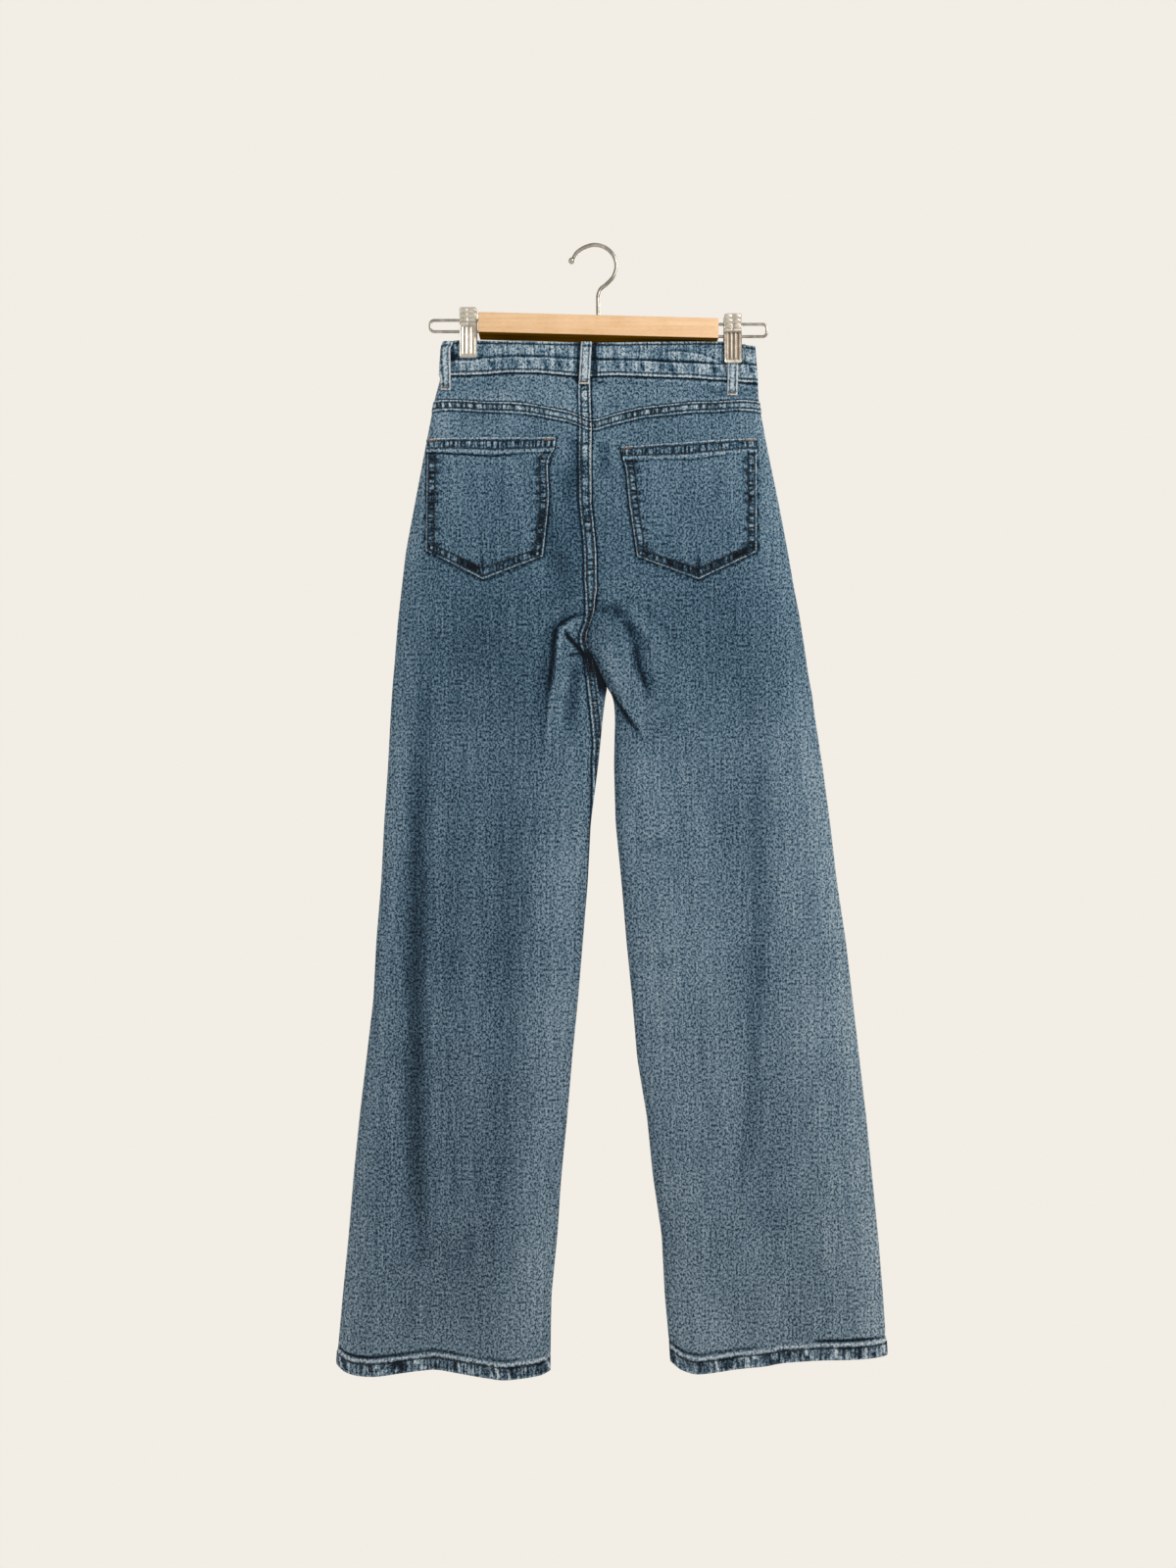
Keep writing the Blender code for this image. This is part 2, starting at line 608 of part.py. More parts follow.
def add_belt_loops(denim):
    """Flat strips from the waistband's top edge down over its lower seam."""
    for loop in LOOPS:
        side = "left" if loop.x < 0 else "right"
        drop = front_dip(loop.x) if loop.face == "front" else 0.0
        top = along(WAIST_TOP, loop.x, "x", "z") - drop - 0.5
        seam = waist_line(loop.x) - drop
        low = loop.low - drop
        panel = ("yoke_" if loop.face == "back" else "front_") + side
        under = [surface_tree("waistband"), surface_tree(panel)]
        if loop.face == "front":
            under.append(surface_tree("pocket_facing_" + side))
        if loop.face == "back" and abs(loop.x) < 20:
            under.append(surface_tree("yoke_right"))
        outside, inside = [], []
        for z in (top, (top + seam) / 2, seam + 2.0, seam - 4.0, (seam - 4.0 + low) / 2, low):
            centre = loop.x + (loop.low_x - loop.x) * (top - z) / (top - low)
            columns = [centre + loop.width * offset for offset in (-0.5, -0.17, 0.17, 0.5)]
            for grid, lift in ((outside, PATCH_GAP + LOOP_WALL), (inside, PATCH_GAP)):
                grid.append([lying_point(under, loop.face, x, z, LOOP_REACH, lift) for x in columns])
        add_wall(loop.name, outside, inside, denim)


# Shank button at the waistband's overlap
BUTTON_RADIUS = 8.5
BUTTON_THICK = 3.0


def add_button(metal):
    """A domed metal button, turned about Y."""
    x = OVERLAP_CENTRE
    z = (waist_line(x) + along(WAIST_TOP, x, "x", "z")) / 2 - front_dip(x)
    seat = skin_y("front", "right", x + 1.5, z) + BAND_PROUD + SEAM_GAP + 0.2
    bm = bmesh.new()
    profile = (
        (0.0, 0.0), (3.0, 0.0), (3.0, 0.9), (BUTTON_RADIUS, 1.0), (BUTTON_RADIUS, 1.8), (6.5, 2.7),
        (0.0, BUTTON_THICK),
    )
    verts = [bm.verts.new(((x + r) * MM, (seat + h) * MM, z * MM)) for r, h in profile]
    edges = [bm.edges.new(pair) for pair in zip(verts, verts[1:])]
    bmesh.ops.spin(
        bm, geom=verts + edges, cent=(x * MM, 0, z * MM), axis=(0, 1, 0), angle=math.tau, steps=20,
        use_merge=True,
    )
    bmesh.ops.remove_doubles(bm, verts=bm.verts[:], dist=0.00001)
    bmesh.ops.recalc_face_normals(bm, faces=bm.faces[:])
    mesh = bpy.data.meshes.new("button")
    bm.to_mesh(mesh)
    bm.free()
    add_object("button", mesh, metal)


# Hanger
def on_bar(x, left, right):
    """A height that follows the hanger's tilt, from its value at each end of the bar."""
    return left + (right - left) * (x - BAR_LEFT) / (BAR_RIGHT - BAR_LEFT)


def add_bar(wood):
    """The wooden bar, with eased edges."""
    bm = bmesh.new()
    bmesh.ops.create_cube(bm, size=1.0)
    for vert in bm.verts:
        x = BAR_LEFT if vert.co.x < 0 else BAR_RIGHT
        top = on_bar(x, BAR_TOP_LEFT, BAR_TOP_RIGHT)
        z = top if vert.co.z > 0 else top - BAR_HEIGHT
        vert.co = Vector((x, math.copysign(BAR_DEPTH / 2, vert.co.y), z)) * MM
    bmesh.ops.bevel(
        bm, geom=bm.edges[:], offset=1.0 * MM, segments=2, profile=0.5, affect="EDGES", material=-1,
    )
    mesh = bpy.data.meshes.new("hanger_bar")
    bm.to_mesh(mesh)
    bm.free()
    add_object("hanger_bar", mesh, wood)


def smooth_route(points, steps):
    """Points on a smooth curve through the given ones."""
    padded = [points[0] * 2 - points[1]] + list(points) + [points[-1] * 2 - points[-2]]
    route = []
    for before, start, end, after in zip(padded, padded[1:], padded[2:], padded[3:]):
        for i in range(steps):
            t = i / steps
            route.append(0.5 * (
                2 * start + (end - before) * t + (2 * before - 5 * start + 4 * end - after) * t * t
                + (3 * start - before - 3 * end + after) * t ** 3
            ))
    route.append(points[-1])
    return route


def add_wire(name, route, diameter, metal, resolution=2):
    """A round wire along a route of points, with closed ends."""
    curve = bpy.data.curves.new(name, "CURVE")
    curve.dimensions = "3D"
    curve.bevel_depth = diameter / 2 * MM
    curve.bevel_resolution = resolution
    curve.use_fill_caps = True
    spline = curve.splines.new("POLY")
    spline.points.add(len(route) - 1)
    for point, place in zip(spline.points, route):
        point.co = (place.x * MM, place.y * MM, place.z * MM, 1.0)
    curve.materials.append(metal)
    made = bpy.data.objects.new(name, curve)
    bpy.context.scene.collection.objects.link(made)
    return made


HOOK_ROUTE = (
    (-21.4, -11.4), (-17.5, -5.5), (-10.0, -0.5), (0.0, 2.1), (10.5, -0.4), (19.2, -8.2), (22.4, -19.2),
    (19.5, -30.0), (12.4, -38.0), (6.4, -43.0), (3.8, -50.0), (3.8, -60.0), (3.8, -74.0),
)
HOOK_BALL = 6.5


def add_hook(metal):
    """Bent wire hook with a ball at its tip, standing in the bar's top."""
    foot = on_bar(3.8, BAR_TOP_LEFT, BAR_TOP_RIGHT) + SEAM_GAP
    route = smooth_route([Vector((x, 0.0, max(z, foot))) for x, z in HOOK_ROUTE], 4)
    add_wire("hanger_hook", route, HOOK_WIRE, metal)
    bm = bmesh.new()
    bmesh.ops.create_uvsphere(bm, u_segments=14, v_segments=8, radius=HOOK_BALL / 2 * MM)
    seat = route[0] + (route[0] - route[1]).normalized() * (HOOK_BALL / 2 + SEAM_GAP)
    bmesh.ops.translate(bm, verts=bm.verts[:], vec=seat * MM)
    mesh = bpy.data.meshes.new("hanger_hook_ball")
    bm.to_mesh(mesh)
    bm.free()
    add_object("hanger_hook_ball", mesh, metal)


Rail = namedtuple("Rail", "name bar_end bow_end top low")
RAILS = (
    Rail("hanger_rail_left", BAR_LEFT, -167.5, -75.0, -86.5),
    Rail("hanger_rail_right", BAR_RIGHT, 176.0, -79.0, -91.5),
)


def add_rails(metal):
    """The rail's bowed ends: out of the bar, round and back into it."""
    for rail in RAILS:
        away = -1.0 if rail.bow_end < rail.bar_end else 1.0
        radius = (rail.top - rail.low) / 2
        middle = (rail.top + rail.low) / 2
        start = rail.bar_end + away * SEAM_GAP
        turn = rail.bow_end - away * radius
        route = [Vector((start, 0, rail.top)), Vector(((start + turn) / 2, 0, rail.top))]
        for i in range(9):
            angle = math.pi / 2 - math.pi * i / 8
            across, up = radius * math.cos(angle), radius * math.sin(angle)
            route.append(Vector((turn + away * across, 0, middle + up)))
        route += [Vector(((start + turn) / 2, 0, rail.low)), Vector((start, 0, rail.low))]
        add_wire(rail.name, route, RAIL_WIRE, metal)


# Clip plates: half depth of the inner face down the plate, and the relief pressed into it
ClipLevel = namedtuple("ClipLevel", "down inside proud")
CLIP_LEVELS = (
    ClipLevel(0.0, 4.6, 0.0), ClipLevel(2.0, 4.0, 0.9), ClipLevel(5.0, 3.0, 0.1),
    ClipLevel(6.5, 2.6, 0.9), ClipLevel(9.0, 1.8, 0.1), ClipLevel(12.0, 1.8, 0.9),
    ClipLevel(14.5, 2.2, 0.1), ClipLevel(18.0, 2.8, 0.0), ClipLevel(26.0, 3.8, 0.0),
    ClipLevel(36.0, 4.0, 0.0), ClipLevel(44.0, 4.2, 0.0), ClipLevel(51.0, 4.6, 0.0),
)
CLIP_RIBS = 4
RIB_PROUD = 0.9
JAW_START = 22.0        # from here down a plate lies over the waistband

# Each clip's middle and top, and how much further its back plate stands out over a belt loop
Clip = namedtuple("Clip", "side x top over_loop")
CLIPS = (Clip("left", CLIP_LEFT_X, -63.5, 0.0), Clip("right", CLIP_RIGHT_X, -69.8, 2.6))


def add_clips(metal):
    """Two pressed plates for each clip, one on either side of the waistband."""
    for clip in CLIPS:
        for face, outward in (("back", -1.0), ("front", 1.0)):
            outside, inside = [], []
            for level in CLIP_LEVELS:
                spread = clip.over_loop * ease(level.down, JAW_START - 8.0, JAW_START)
                if face == "front":
                    spread = 0.0
                outside.append([])
                inside.append([])
                for column in range(2 * CLIP_RIBS + 1):
                    offset = (column / (2 * CLIP_RIBS) - 0.5) * CLIP_WIDTH
                    ribbed = RIB_PROUD if column % 2 == 1 and level.down >= 18 else level.proud
                    y = level.inside + spread
                    x, z = clip.x + offset, clip.top - level.down
                    outside[-1].append(Vector((x, outward * (y + CLIP_SHEET + ribbed), z)))
                    inside[-1].append(Vector((x, outward * y, z)))
            add_wall("clip_%s_%s" % (clip.side, face), outside, inside, metal)


def main():
    """Clear the scene and build the garment and its hanger."""
    for old in list(bpy.data.objects):
        bpy.data.objects.remove(old, do_unlink=True)
    denim = material("denim", "#4f6878", 0.9)
    brass = material("button_metal", "#8a7658", 0.4, 1.0)
    wood = material("beech", "#efc79a", 0.45)
    steel = material("steel", "#c4c0b8", 0.28, 1.0)
    add_back_panels(denim)
    add_yokes(denim)
    add_front_panels(denim)
    add_pocket_facings(denim)
    add_waistband(denim)
    add_back_pockets(denim)
    add_belt_loops(denim)
    add_button(brass)
    add_bar(wood)
    add_hook(steel)
    add_rails(steel)
    add_clips(steel)


main()
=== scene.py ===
import math
from collections import namedtuple

import bmesh
import bpy
import numpy as np
from mathutils import Matrix, Vector


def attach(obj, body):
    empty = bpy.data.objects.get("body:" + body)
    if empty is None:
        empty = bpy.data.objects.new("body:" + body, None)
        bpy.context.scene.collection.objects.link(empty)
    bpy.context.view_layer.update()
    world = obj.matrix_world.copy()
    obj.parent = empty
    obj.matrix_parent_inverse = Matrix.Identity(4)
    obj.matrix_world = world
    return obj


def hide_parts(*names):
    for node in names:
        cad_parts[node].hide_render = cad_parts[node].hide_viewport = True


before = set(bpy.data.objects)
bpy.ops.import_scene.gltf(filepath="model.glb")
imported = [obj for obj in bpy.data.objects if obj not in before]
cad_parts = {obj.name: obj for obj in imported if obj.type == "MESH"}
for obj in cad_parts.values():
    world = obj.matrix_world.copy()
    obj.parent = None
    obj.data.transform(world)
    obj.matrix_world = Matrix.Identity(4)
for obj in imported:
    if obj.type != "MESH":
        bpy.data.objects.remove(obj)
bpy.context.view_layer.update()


# Viewpoint, light and floor
# The jeans hang free by the hanger's hook and are seen from behind, level with the thighs and
# 1.3 m away, in soft light that comes mostly from the upper right. The floor is matt and pale.
def linear(hex_colour):
    """Linear red, green, blue and alpha of an sRGB hex colour."""
    channels = [int(hex_colour[i:i + 2], 16) / 255 for i in (1, 3, 5)]
    return [c / 12.92 if c <= 0.04045 else ((c + 0.055) / 1.055) ** 2.4 for c in channels] + [1.0]


def add_node(tree, kind, links=None, **settings):
    """Add a node; links gives each named input a value or another node's output."""
    made = tree.nodes.new(kind)
    for key, value in settings.items():
        setattr(made, key, value)
    for key, value in (links or {}).items():
        if isinstance(value, bpy.types.NodeSocket):
            tree.links.new(value, made.inputs[key])
        else:
            made.inputs[key].default_value = value
    return made


def new_material(name, **shader_inputs):
    """A material with a principled shader; returns it, its node tree and the shader."""
    made = bpy.data.materials.new(name)
    made.use_nodes = True
    shader = made.node_tree.nodes["Principled BSDF"]
    for key, value in shader_inputs.items():
        shader.inputs[key.replace("_", " ").title()].default_value = value
    return made, made.node_tree, shader


def from_bmesh(name, bm, *materials):
    """A smooth mesh object of these materials, linked to the scene; bm is freed."""
    mesh = bpy.data.meshes.new(name)
    bm.to_mesh(mesh)
    bm.free()
    for material in materials:
        mesh.materials.append(material)
    mesh.shade_smooth()
    made = bpy.data.objects.new(name, mesh)
    bpy.context.scene.collection.objects.link(made)
    return made


PALE = "#f2ede5"
VIEW_DISTANCE = 1.3     # metres
VIEW_SPAN = 1.6         # height of the view at the jeans, metres
VIEW_CENTRE = (-0.0065, -0.548)     # X and Z
FILM_HEIGHT = 36.0      # millimetres
LAMP_AIM = Vector((0.0, 0.0, -0.5))
FLOOR_LEVEL, FLOOR_RADIUS = -1.36, 14.0

camera_data = bpy.data.cameras.new("viewpoint")
camera_data.sensor_fit = "VERTICAL"
camera_data.sensor_height = FILM_HEIGHT
camera_data.lens = FILM_HEIGHT * VIEW_DISTANCE / VIEW_SPAN
camera = bpy.data.objects.new("viewpoint", camera_data)
camera.location = (VIEW_CENTRE[0], -VIEW_DISTANCE, VIEW_CENTRE[1])
camera.rotation_euler = (math.pi / 2, 0.0, 0.0)
bpy.context.scene.collection.objects.link(camera)
bpy.context.scene.camera = camera
bpy.context.scene.view_settings.view_transform = "Standard"

Lamp = namedtuple("Lamp", "name place power size colour")
LAMPS = [Lamp(*row) for row in (
    ("key_lamp", (1.5, -1.7, 0.9), 38.0, 1.2, "#fffaf2"),
    ("fill_lamp", (-2.0, -1.6, 0.1), 6.0, 1.6, "#f2f4ff"),
    ("front_lamp", (0.8, 2.2, 0.8), 34.0, 1.2, "#fff8ef"),
)]
for lamp in LAMPS:
    light = bpy.data.lights.new(lamp.name, "AREA")
    light.energy, light.size, light.color = lamp.power, lamp.size, linear(lamp.colour)[:3]
    holder = bpy.data.objects.new(lamp.name, light)
    holder.location = lamp.place
    holder.rotation_euler = (LAMP_AIM - Vector(lamp.place)).to_track_quat("-Z", "Y").to_euler()
    bpy.context.scene.collection.objects.link(holder)

# The room gives a dimmer even light than its pale colour shows
world = bpy.data.worlds.new("pale_room")
world.use_nodes = True
bpy.context.scene.world = world
ROOM_LIGHT = 0.62
path = add_node(world.node_tree, "ShaderNodeLightPath")
seen = add_node(world.node_tree, "ShaderNodeMapRange", {
    "Value": path.outputs["Is Camera Ray"], "To Min": ROOM_LIGHT, "To Max": 1.0,
})
room = world.node_tree.nodes["Background"]
room.inputs["Color"].default_value = linear(PALE)
world.node_tree.links.new(seen.outputs["Result"], room.inputs["Strength"])

# Matt pale paint on the floor, fading into the room's colour away from the jeans
floor_paint, tree, shader = new_material("matt_pale_paint", roughness=0.9)
shader.inputs["Base Color"].default_value = linear("#d2cdc5")
place = add_node(tree, "ShaderNodeTexCoord").outputs["Object"]
reach = add_node(tree, "ShaderNodeVectorMath", {0: place}, operation="LENGTH")
haze = add_node(tree, "ShaderNodeMapRange", {
    "Value": reach.outputs["Value"], "From Min": 0.3, "From Max": 1.3,
}, interpolation_type="SMOOTHSTEP")
grain = add_node(tree, "ShaderNodeTexNoise", {"Vector": place, "Scale": 300.0})
bump = add_node(tree, "ShaderNodeBump", {
    "Height": grain.outputs["Fac"], "Strength": 0.1, "Distance": 0.001,
})
tree.links.new(bump.outputs["Normal"], shader.inputs["Normal"])
glow = add_node(tree, "ShaderNodeEmission", {"Color": linear(PALE)})
blend = add_node(tree, "ShaderNodeMixShader", {
    0: haze.outputs["Result"], 1: shader.outputs["BSDF"], 2: glow.outputs["Emission"],
})
tree.links.new(blend.outputs["Shader"], tree.nodes["Material Output"].inputs["Surface"])

bm = bmesh.new()
bmesh.ops.create_circle(bm, cap_ends=True, segments=96, radius=FLOOR_RADIUS)
bmesh.ops.translate(bm, verts=bm.verts[:], vec=(0.0, 0.0, FLOOR_LEVEL))
floor = from_bmesh("floor", bm, floor_paint)


# Back leg panels
# Two panels of washed indigo denim twill, felled together at the centre back with a 12 mm lap and
# to the yokes above with an 11 mm lap, turned up 13 mm at the hem. They hang in long soft folds,
# with a tuck on either side of the crotch.
MM = 0.001
SEAM_GAP = 0.3
HALF_GAP = SEAM_GAP / 2
MIDDLE_X = -4.0         # centre seam at the waist
CROTCH_LAP = 1.1        # how far each half is drawn past its gap at the crotch
LAP_PROUD = 0.8         # height of a felled seam over the cloth
LAP_WIDTH = 12.0
YOKE_LAP = 11.0
HEM_DEPTH = 13.0
HEM_PROUD = 1.0
WAIST_PINCH = 2.5       # half the depth left between the clips' jaws
WAIST_LEVEL = -133.0
YOKE_LEVEL = -165.0
HIP_LEVEL = -215.0
CROTCH_LEVEL = -413.0
HEM_LEVEL = -1142.0
WAIST_END_ROUND = 6.0   # how wide the side folds are rounded at the waist
LEG_END_ROUND = 55.0    # and down the legs
CLIP_X, CLIP_WIDTH = (-128.5, 140.8), 17.5
TOWARD = {"left": 1.0, "right": -1.0}   # from each side fold to the middle

Section = namedtuple("Section", "z left_side left_inner right_inner right_side back front")
SECTIONS = [Section(*row) for row in (
    (-94, -154.0, -4.0, -4.0, 163.5, 5.5, 12.0),
    (-120, -155.5, -4.0, -4.0, 165.5, 7.0, 13.0),
    (-132, -156.5, -4.0, -4.0, 166.5, 8.0, 13.5),
    (-156, -163.0, -4.0, -4.0, 167.5, 10.5, 14.0),
    (-180, -167.5, -3.0, -3.0, 171.5, 12.5, 14.5),
    (-216, -174.5, -3.5, -3.5, 178.5, 14.5, 15.0),
    (-264, -183.5, -3.0, -3.0, 188.5, 16.0, 16.0),
    (-312, -192.5, 2.0, 2.0, 197.5, 16.5, 16.0),
    (-350, -196.8, 2.3, 2.3, 204.0, 17.0, 16.0),
    (-371, -199.2, -0.2, -0.2, 208.3, 17.0, 16.0),
    (-383, -200.5, -3.8, -3.8, 210.3, 17.0, 16.0),
    (-393, -201.3, -8.0, -8.0, 211.8, 16.8, 16.0),
    (-401, -202.0, -9.6, -9.6, 213.1, 16.6, 15.8),
    (-408, -202.6, -8.0, -8.0, 214.2, 16.5, 15.6),
    (-415, -203.1, -3.4, -3.4, 215.3, 16.4, 15.5),
    (-422, -203.6, 0.2, 0.2, 216.2, 16.2, 15.2),
    (-432, -204.5, 4.7, 4.7, 217.5, 16.0, 15.0),
    (-446, -205.7, 11.6, 11.8, 219.9, 15.7, 14.7),
    (-452, -206.2, 12.6, 15.4, 221.3, 15.6, 14.6),
    (-462, -206.9, 11.0, 19.6, 222.8, 15.4, 14.5),
    (-480, -208.0, 8.8, 21.0, 225.0, 15.0, 14.5),
    (-528, -210.5, 4.2, 19.8, 232.5, 15.0, 14.0),
    (-588, -214.5, -3.5, 21.5, 240.5, 15.0, 14.0),
    (-648, -217.5, -6.5, 27.5, 247.5, 15.0, 14.0),
    (-708, -222.5, -11.5, 32.5, 256.5, 15.0, 14.0),
    (-768, -225.5, -16.5, 38.5, 263.5, 15.0, 14.0),
    (-828, -232.5, -22.5, 43.5, 270.5, 15.0, 14.0),
    (-888, -239.5, -27.5, 53.5, 277.5, 15.0, 14.0),
    (-948, -245.5, -33.5, 59.5, 283.5, 15.0, 14.0),
    (-1008, -250.5, -37.5, 68.5, 289.5, 15.0, 14.0),
    (-1068, -256.5, -43.5, 71.5, 294.5, 15.0, 14.0),
    (-1124, -261.5, -44.5, 76.5, 298.0, 15.0, 14.0),
    (-1150, -262.5, -44.5, 78.0, 300.0, 15.0, 14.0),
)]

# Lines across the garment: (x, z) in millimetres
WAIST_TOP = (
    (-157, -99.0), (-137, -96.0), (-67, -98.5), (0, -100.0), (98, -98.5), (132, -97.5), (150, -100.5),
    (166, -102.5),
)
WAIST_SEAM = (
    (-157, -133.0), (-91, -131.0), (-55, -131.5), (-10, -136.0), (21, -134.0), (85, -136.5),
    (134, -137.5), (167, -141.0),
)
YOKE_SEAM = (
    (-168, -158.5), (-139, -157.5), (-67, -163.0), (-25, -171.5), (-2, -181.0), (21, -173.5),
    (47, -167.0), (97, -161.5), (148, -157.5), (172, -159.0),
)
HEM_LINE = (
    (-263, -1136.0), (-259, -1141.0), (-245, -1144.5), (-215, -1143.5), (-183, -1141.0),
    (-162, -1140.0), (-122, -1144.5), (-92, -1147.0), (-50, -1146.5), (-44, -1143.0), (76, -1132.0),
    (82, -1139.0), (99, -1143.0), (142, -1138.0), (172, -1136.5), (189, -1133.0), (237, -1130.5),
    (300, -1128.5),
)

# Folds: height outward, how wide each fades to the left and right of the way along its points,
# and the share of its height left at its first and last point
Fold = namedtuple("Fold", "face height left right first last points")
FOLDS = [Fold(*row) for row in (
    # tucks at the crotch
    ("back", 4.5, 17, 2.2, 0.0, 0.0, (
        (-2, -377), (-10, -379.5), (-19, -382), (-28, -387), (-35, -392.5), (-37.6, -407), (-38.6, -423),
        (-41, -444), (-44, -460), (-48, -500), (-51, -545),
    )),
    ("back", -2.6, 3.0, 3.0, 0.0, 1.0, ((-30, -393), (-26, -400), (-17, -409), (-13, -414))),
    ("back", -1.2, 2.4, 2.4, 0.0, 1.0, ((-27, -419), (-22, -417), (-15.5, -415.5))),
    ("back", -2.0, 14, 9, 0.2, 0.0, ((-14, -417), (-18, -436), (-22, -470), (-24, -520))),
    ("back", 4.5, 30, 1.8, 0.9, 0.0, (
        (16, -452.5), (21, -459.5), (25.8, -467), (33.5, -477), (44, -488.5), (55, -505),
    )),
    ("back", -1.9, 11, 7, 0.0, 0.0, (
        (30, -374), (35, -388), (42, -414), (44.5, -430), (49, -441), (53, -452), (58, -480),
    )),
    ("back", 1.2, 10, 8, 0.0, 0.0, ((20, -372), (40, -380), (62, -400), (74, -440))),
    ("back", -1.0, 5, 12, 0.0, 0.0, ((4, -378), (14, -371), (30, -366))),
    # long soft troughs and ridges down the back of the legs
    ("back", -3.0, 16, 18, 0.2, 0.4, ((-168, -400), (-178, -540), (-183, -820), (-178, -1020))),
    ("back", 3.0, 26, 30, 0.3, 0.5, ((-120, -460), (-124, -720), (-132, -980))),
    ("back", -2.4, 26, 28, 0.3, 0.6, ((128, -450), (150, -700), (176, -980))),
    ("back", 3.0, 28, 28, 0.3, 0.5, ((186, -400), (212, -700), (236, -1000))),
    ("back", -2.5, 14, 16, 0.3, 0.3, ((-62, -232), (-44, -300), (-34, -352))),
    # small creases by the right leg's inner edge and across its thigh
    ("back", -0.7, 7, 12, 0.0, 0.0, ((24, -598), (52, -610), (84, -606))),
    ("back", -0.6, 7, 12, 0.0, 0.0, ((30, -716), (58, -728), (92, -726))),
    ("back", -0.5, 8, 12, 0.0, 0.0, ((40, -796), (72, -806), (104, -800))),
    # beside the seams
    ("back", -1.6, 7, 9, 0.0, 0.0, ((-30, -190), (-19, -206), (-17, -232), (-20, -262))),
    ("back", -1.2, 7, 7, 0.0, 0.0, ((6, -196), (10, -214), (9, -246))),
    # across the top of the seat, under the waistband
    ("back", -0.9, 5, 5, 0.0, 0.0, ((96, -140), (128, -149), (164, -152))),
    ("back", -0.8, 5, 5, 0.0, 0.0, ((-34, -138), (-20, -148), (-15, -166))),
    # the front hangs in like folds
    ("front", 3.5, 22, 6, 0.2, 0.0, ((6, -408), (34, -398), (66, -380), (92, -360))),
    ("front", 3.5, 6, 22, 0.2, 0.0, ((-8, -410), (-38, -402), (-70, -386), (-96, -368))),
    ("front", -3.5, 26, 28, 0.3, 0.6, ((-128, -420), (-146, -700), (-172, -1020))),
    ("front", 3.0, 28, 28, 0.3, 0.6, ((-72, -520), (-88, -780), (-106, -1040))),
    ("front", -3.5, 26, 28, 0.3, 0.6, ((124, -440), (152, -720), (184, -1020))),
    ("front", 3.0, 28, 28, 0.3, 0.6, ((196, -400), (222, -700), (248, -1000))),
    ("front", -0.7, 7, 12, 0.0, 0.0, ((-30, -640), (-62, -650), (-92, -644))),
    ("front", -0.6, 7, 12, 0.0, 0.0, ((44, -620), (80, -632), (112, -626))),
)]
FOLD_TAPER = 0.35       # share of a fold's length over which its end fades

# The hems swing to and fro by this much at the bottom edge: (x, y)
HEM_WAVE = (
    (-263, 0.0), (-225, -5.0), (-160, 5.0), (-92, -5.0), (-44, 0.0), (76, 0.0), (105, -4.0),
    (160, 2.0), (225, 4.0), (300, 0.0),
)
HEM_WAVE_REACH = 420.0  # fading out this far up

CORNER_EASE = (-5, 0, 5)    # places whose mean eases a line's corners


def along(points, x):
    """Height of a line across the garment at x, its corners eased."""
    places, heights = zip(*points)
    return sum(np.interp(x + step, places, heights) for step in CORNER_EASE) / len(CORNER_EASE)


def at_height(table, z, column=1):
    """A column of a table at height z, whose rows begin with their height and run downward."""
    return np.interp(-z, [-row[0] for row in table], [row[column] for row in table])


def section(name, z):
    """One column of the outline table at height z, its corners eased."""
    column = Section._fields.index(name)
    return sum(at_height(SECTIONS, z - step, column) for step in CORNER_EASE) / len(CORNER_EASE)


def ease(value, start, end):
    """0 at start, 1 at end, smooth between."""
    t = np.clip((value - start) / (end - start), 0.0, 1.0)
    return t * t * (3 - 2 * t)


def ridge(distance, width):
    """A soft bell: 1 on a line, next to 0 at twice the width from it."""
    return np.exp(-(distance / width) ** 2)


def rounded_end(distance, width):
    """Quarter ellipse: 0 at a fold, 1 at the given width from it."""
    t = 1 - np.clip(distance, 0.0, width) / width
    return np.sqrt(np.clip(1 - t * t, 0.0, 1.0))


def wander(x, z, across, down, seed):
    """Seeded unevenness between -1 and 1, in smooth patches across by down."""
    lattice = np.random.default_rng(seed).uniform(-1, 1, (61, 67))
    i, j = np.floor(x / across).astype(int), np.floor(z / down).astype(int)
    s, t = x / across - i, z / down - j
    s, t = s * s * (3 - 2 * s), t * t * (3 - 2 * t)
    upper = lattice[i % 61, j % 67] * (1 - s) + lattice[(i + 1) % 61, j % 67] * s
    lower = lattice[i % 61, (j + 1) % 67] * (1 - s) + lattice[(i + 1) % 61, (j + 1) % 67] * s
    return upper * (1 - t) + lower * t


def streaks(x, width, seed):
    """Seeded unevenness across the cloth, the same all the way down."""
    return wander(x, x * 0.0, width, 1.0, seed)


def rungs(z, height, seed):
    """Seeded unevenness down the cloth, the same all the way across."""
    return wander(z * 0.0, z, 1.0, height, seed)


def line_distance(points, x, z):
    """Distance from a line of points, above 0 on its right-hand side, and the share along it."""
    best, side, share = np.full_like(x, 1e9), np.zeros_like(x), np.zeros_like(x)
    for index, ((ax, az), (bx, bz)) in enumerate(zip(points, points[1:])):
        run_x, run_z = bx - ax, bz - az
        t = np.clip(((x - ax) * run_x + (z - az) * run_z) / (run_x ** 2 + run_z ** 2), 0.0, 1.0)
        gap_x, gap_z = x - ax - run_x * t, z - az - run_z * t
        gap = np.hypot(gap_x, gap_z)
        closer = gap < best
        best = np.where(closer, gap, best)
        side = np.where(closer, run_z * gap_x - run_x * gap_z, side)
        share = np.where(closer, (index + t) / (len(points) - 1), share)
    return np.where(side > 0, best, -best), share


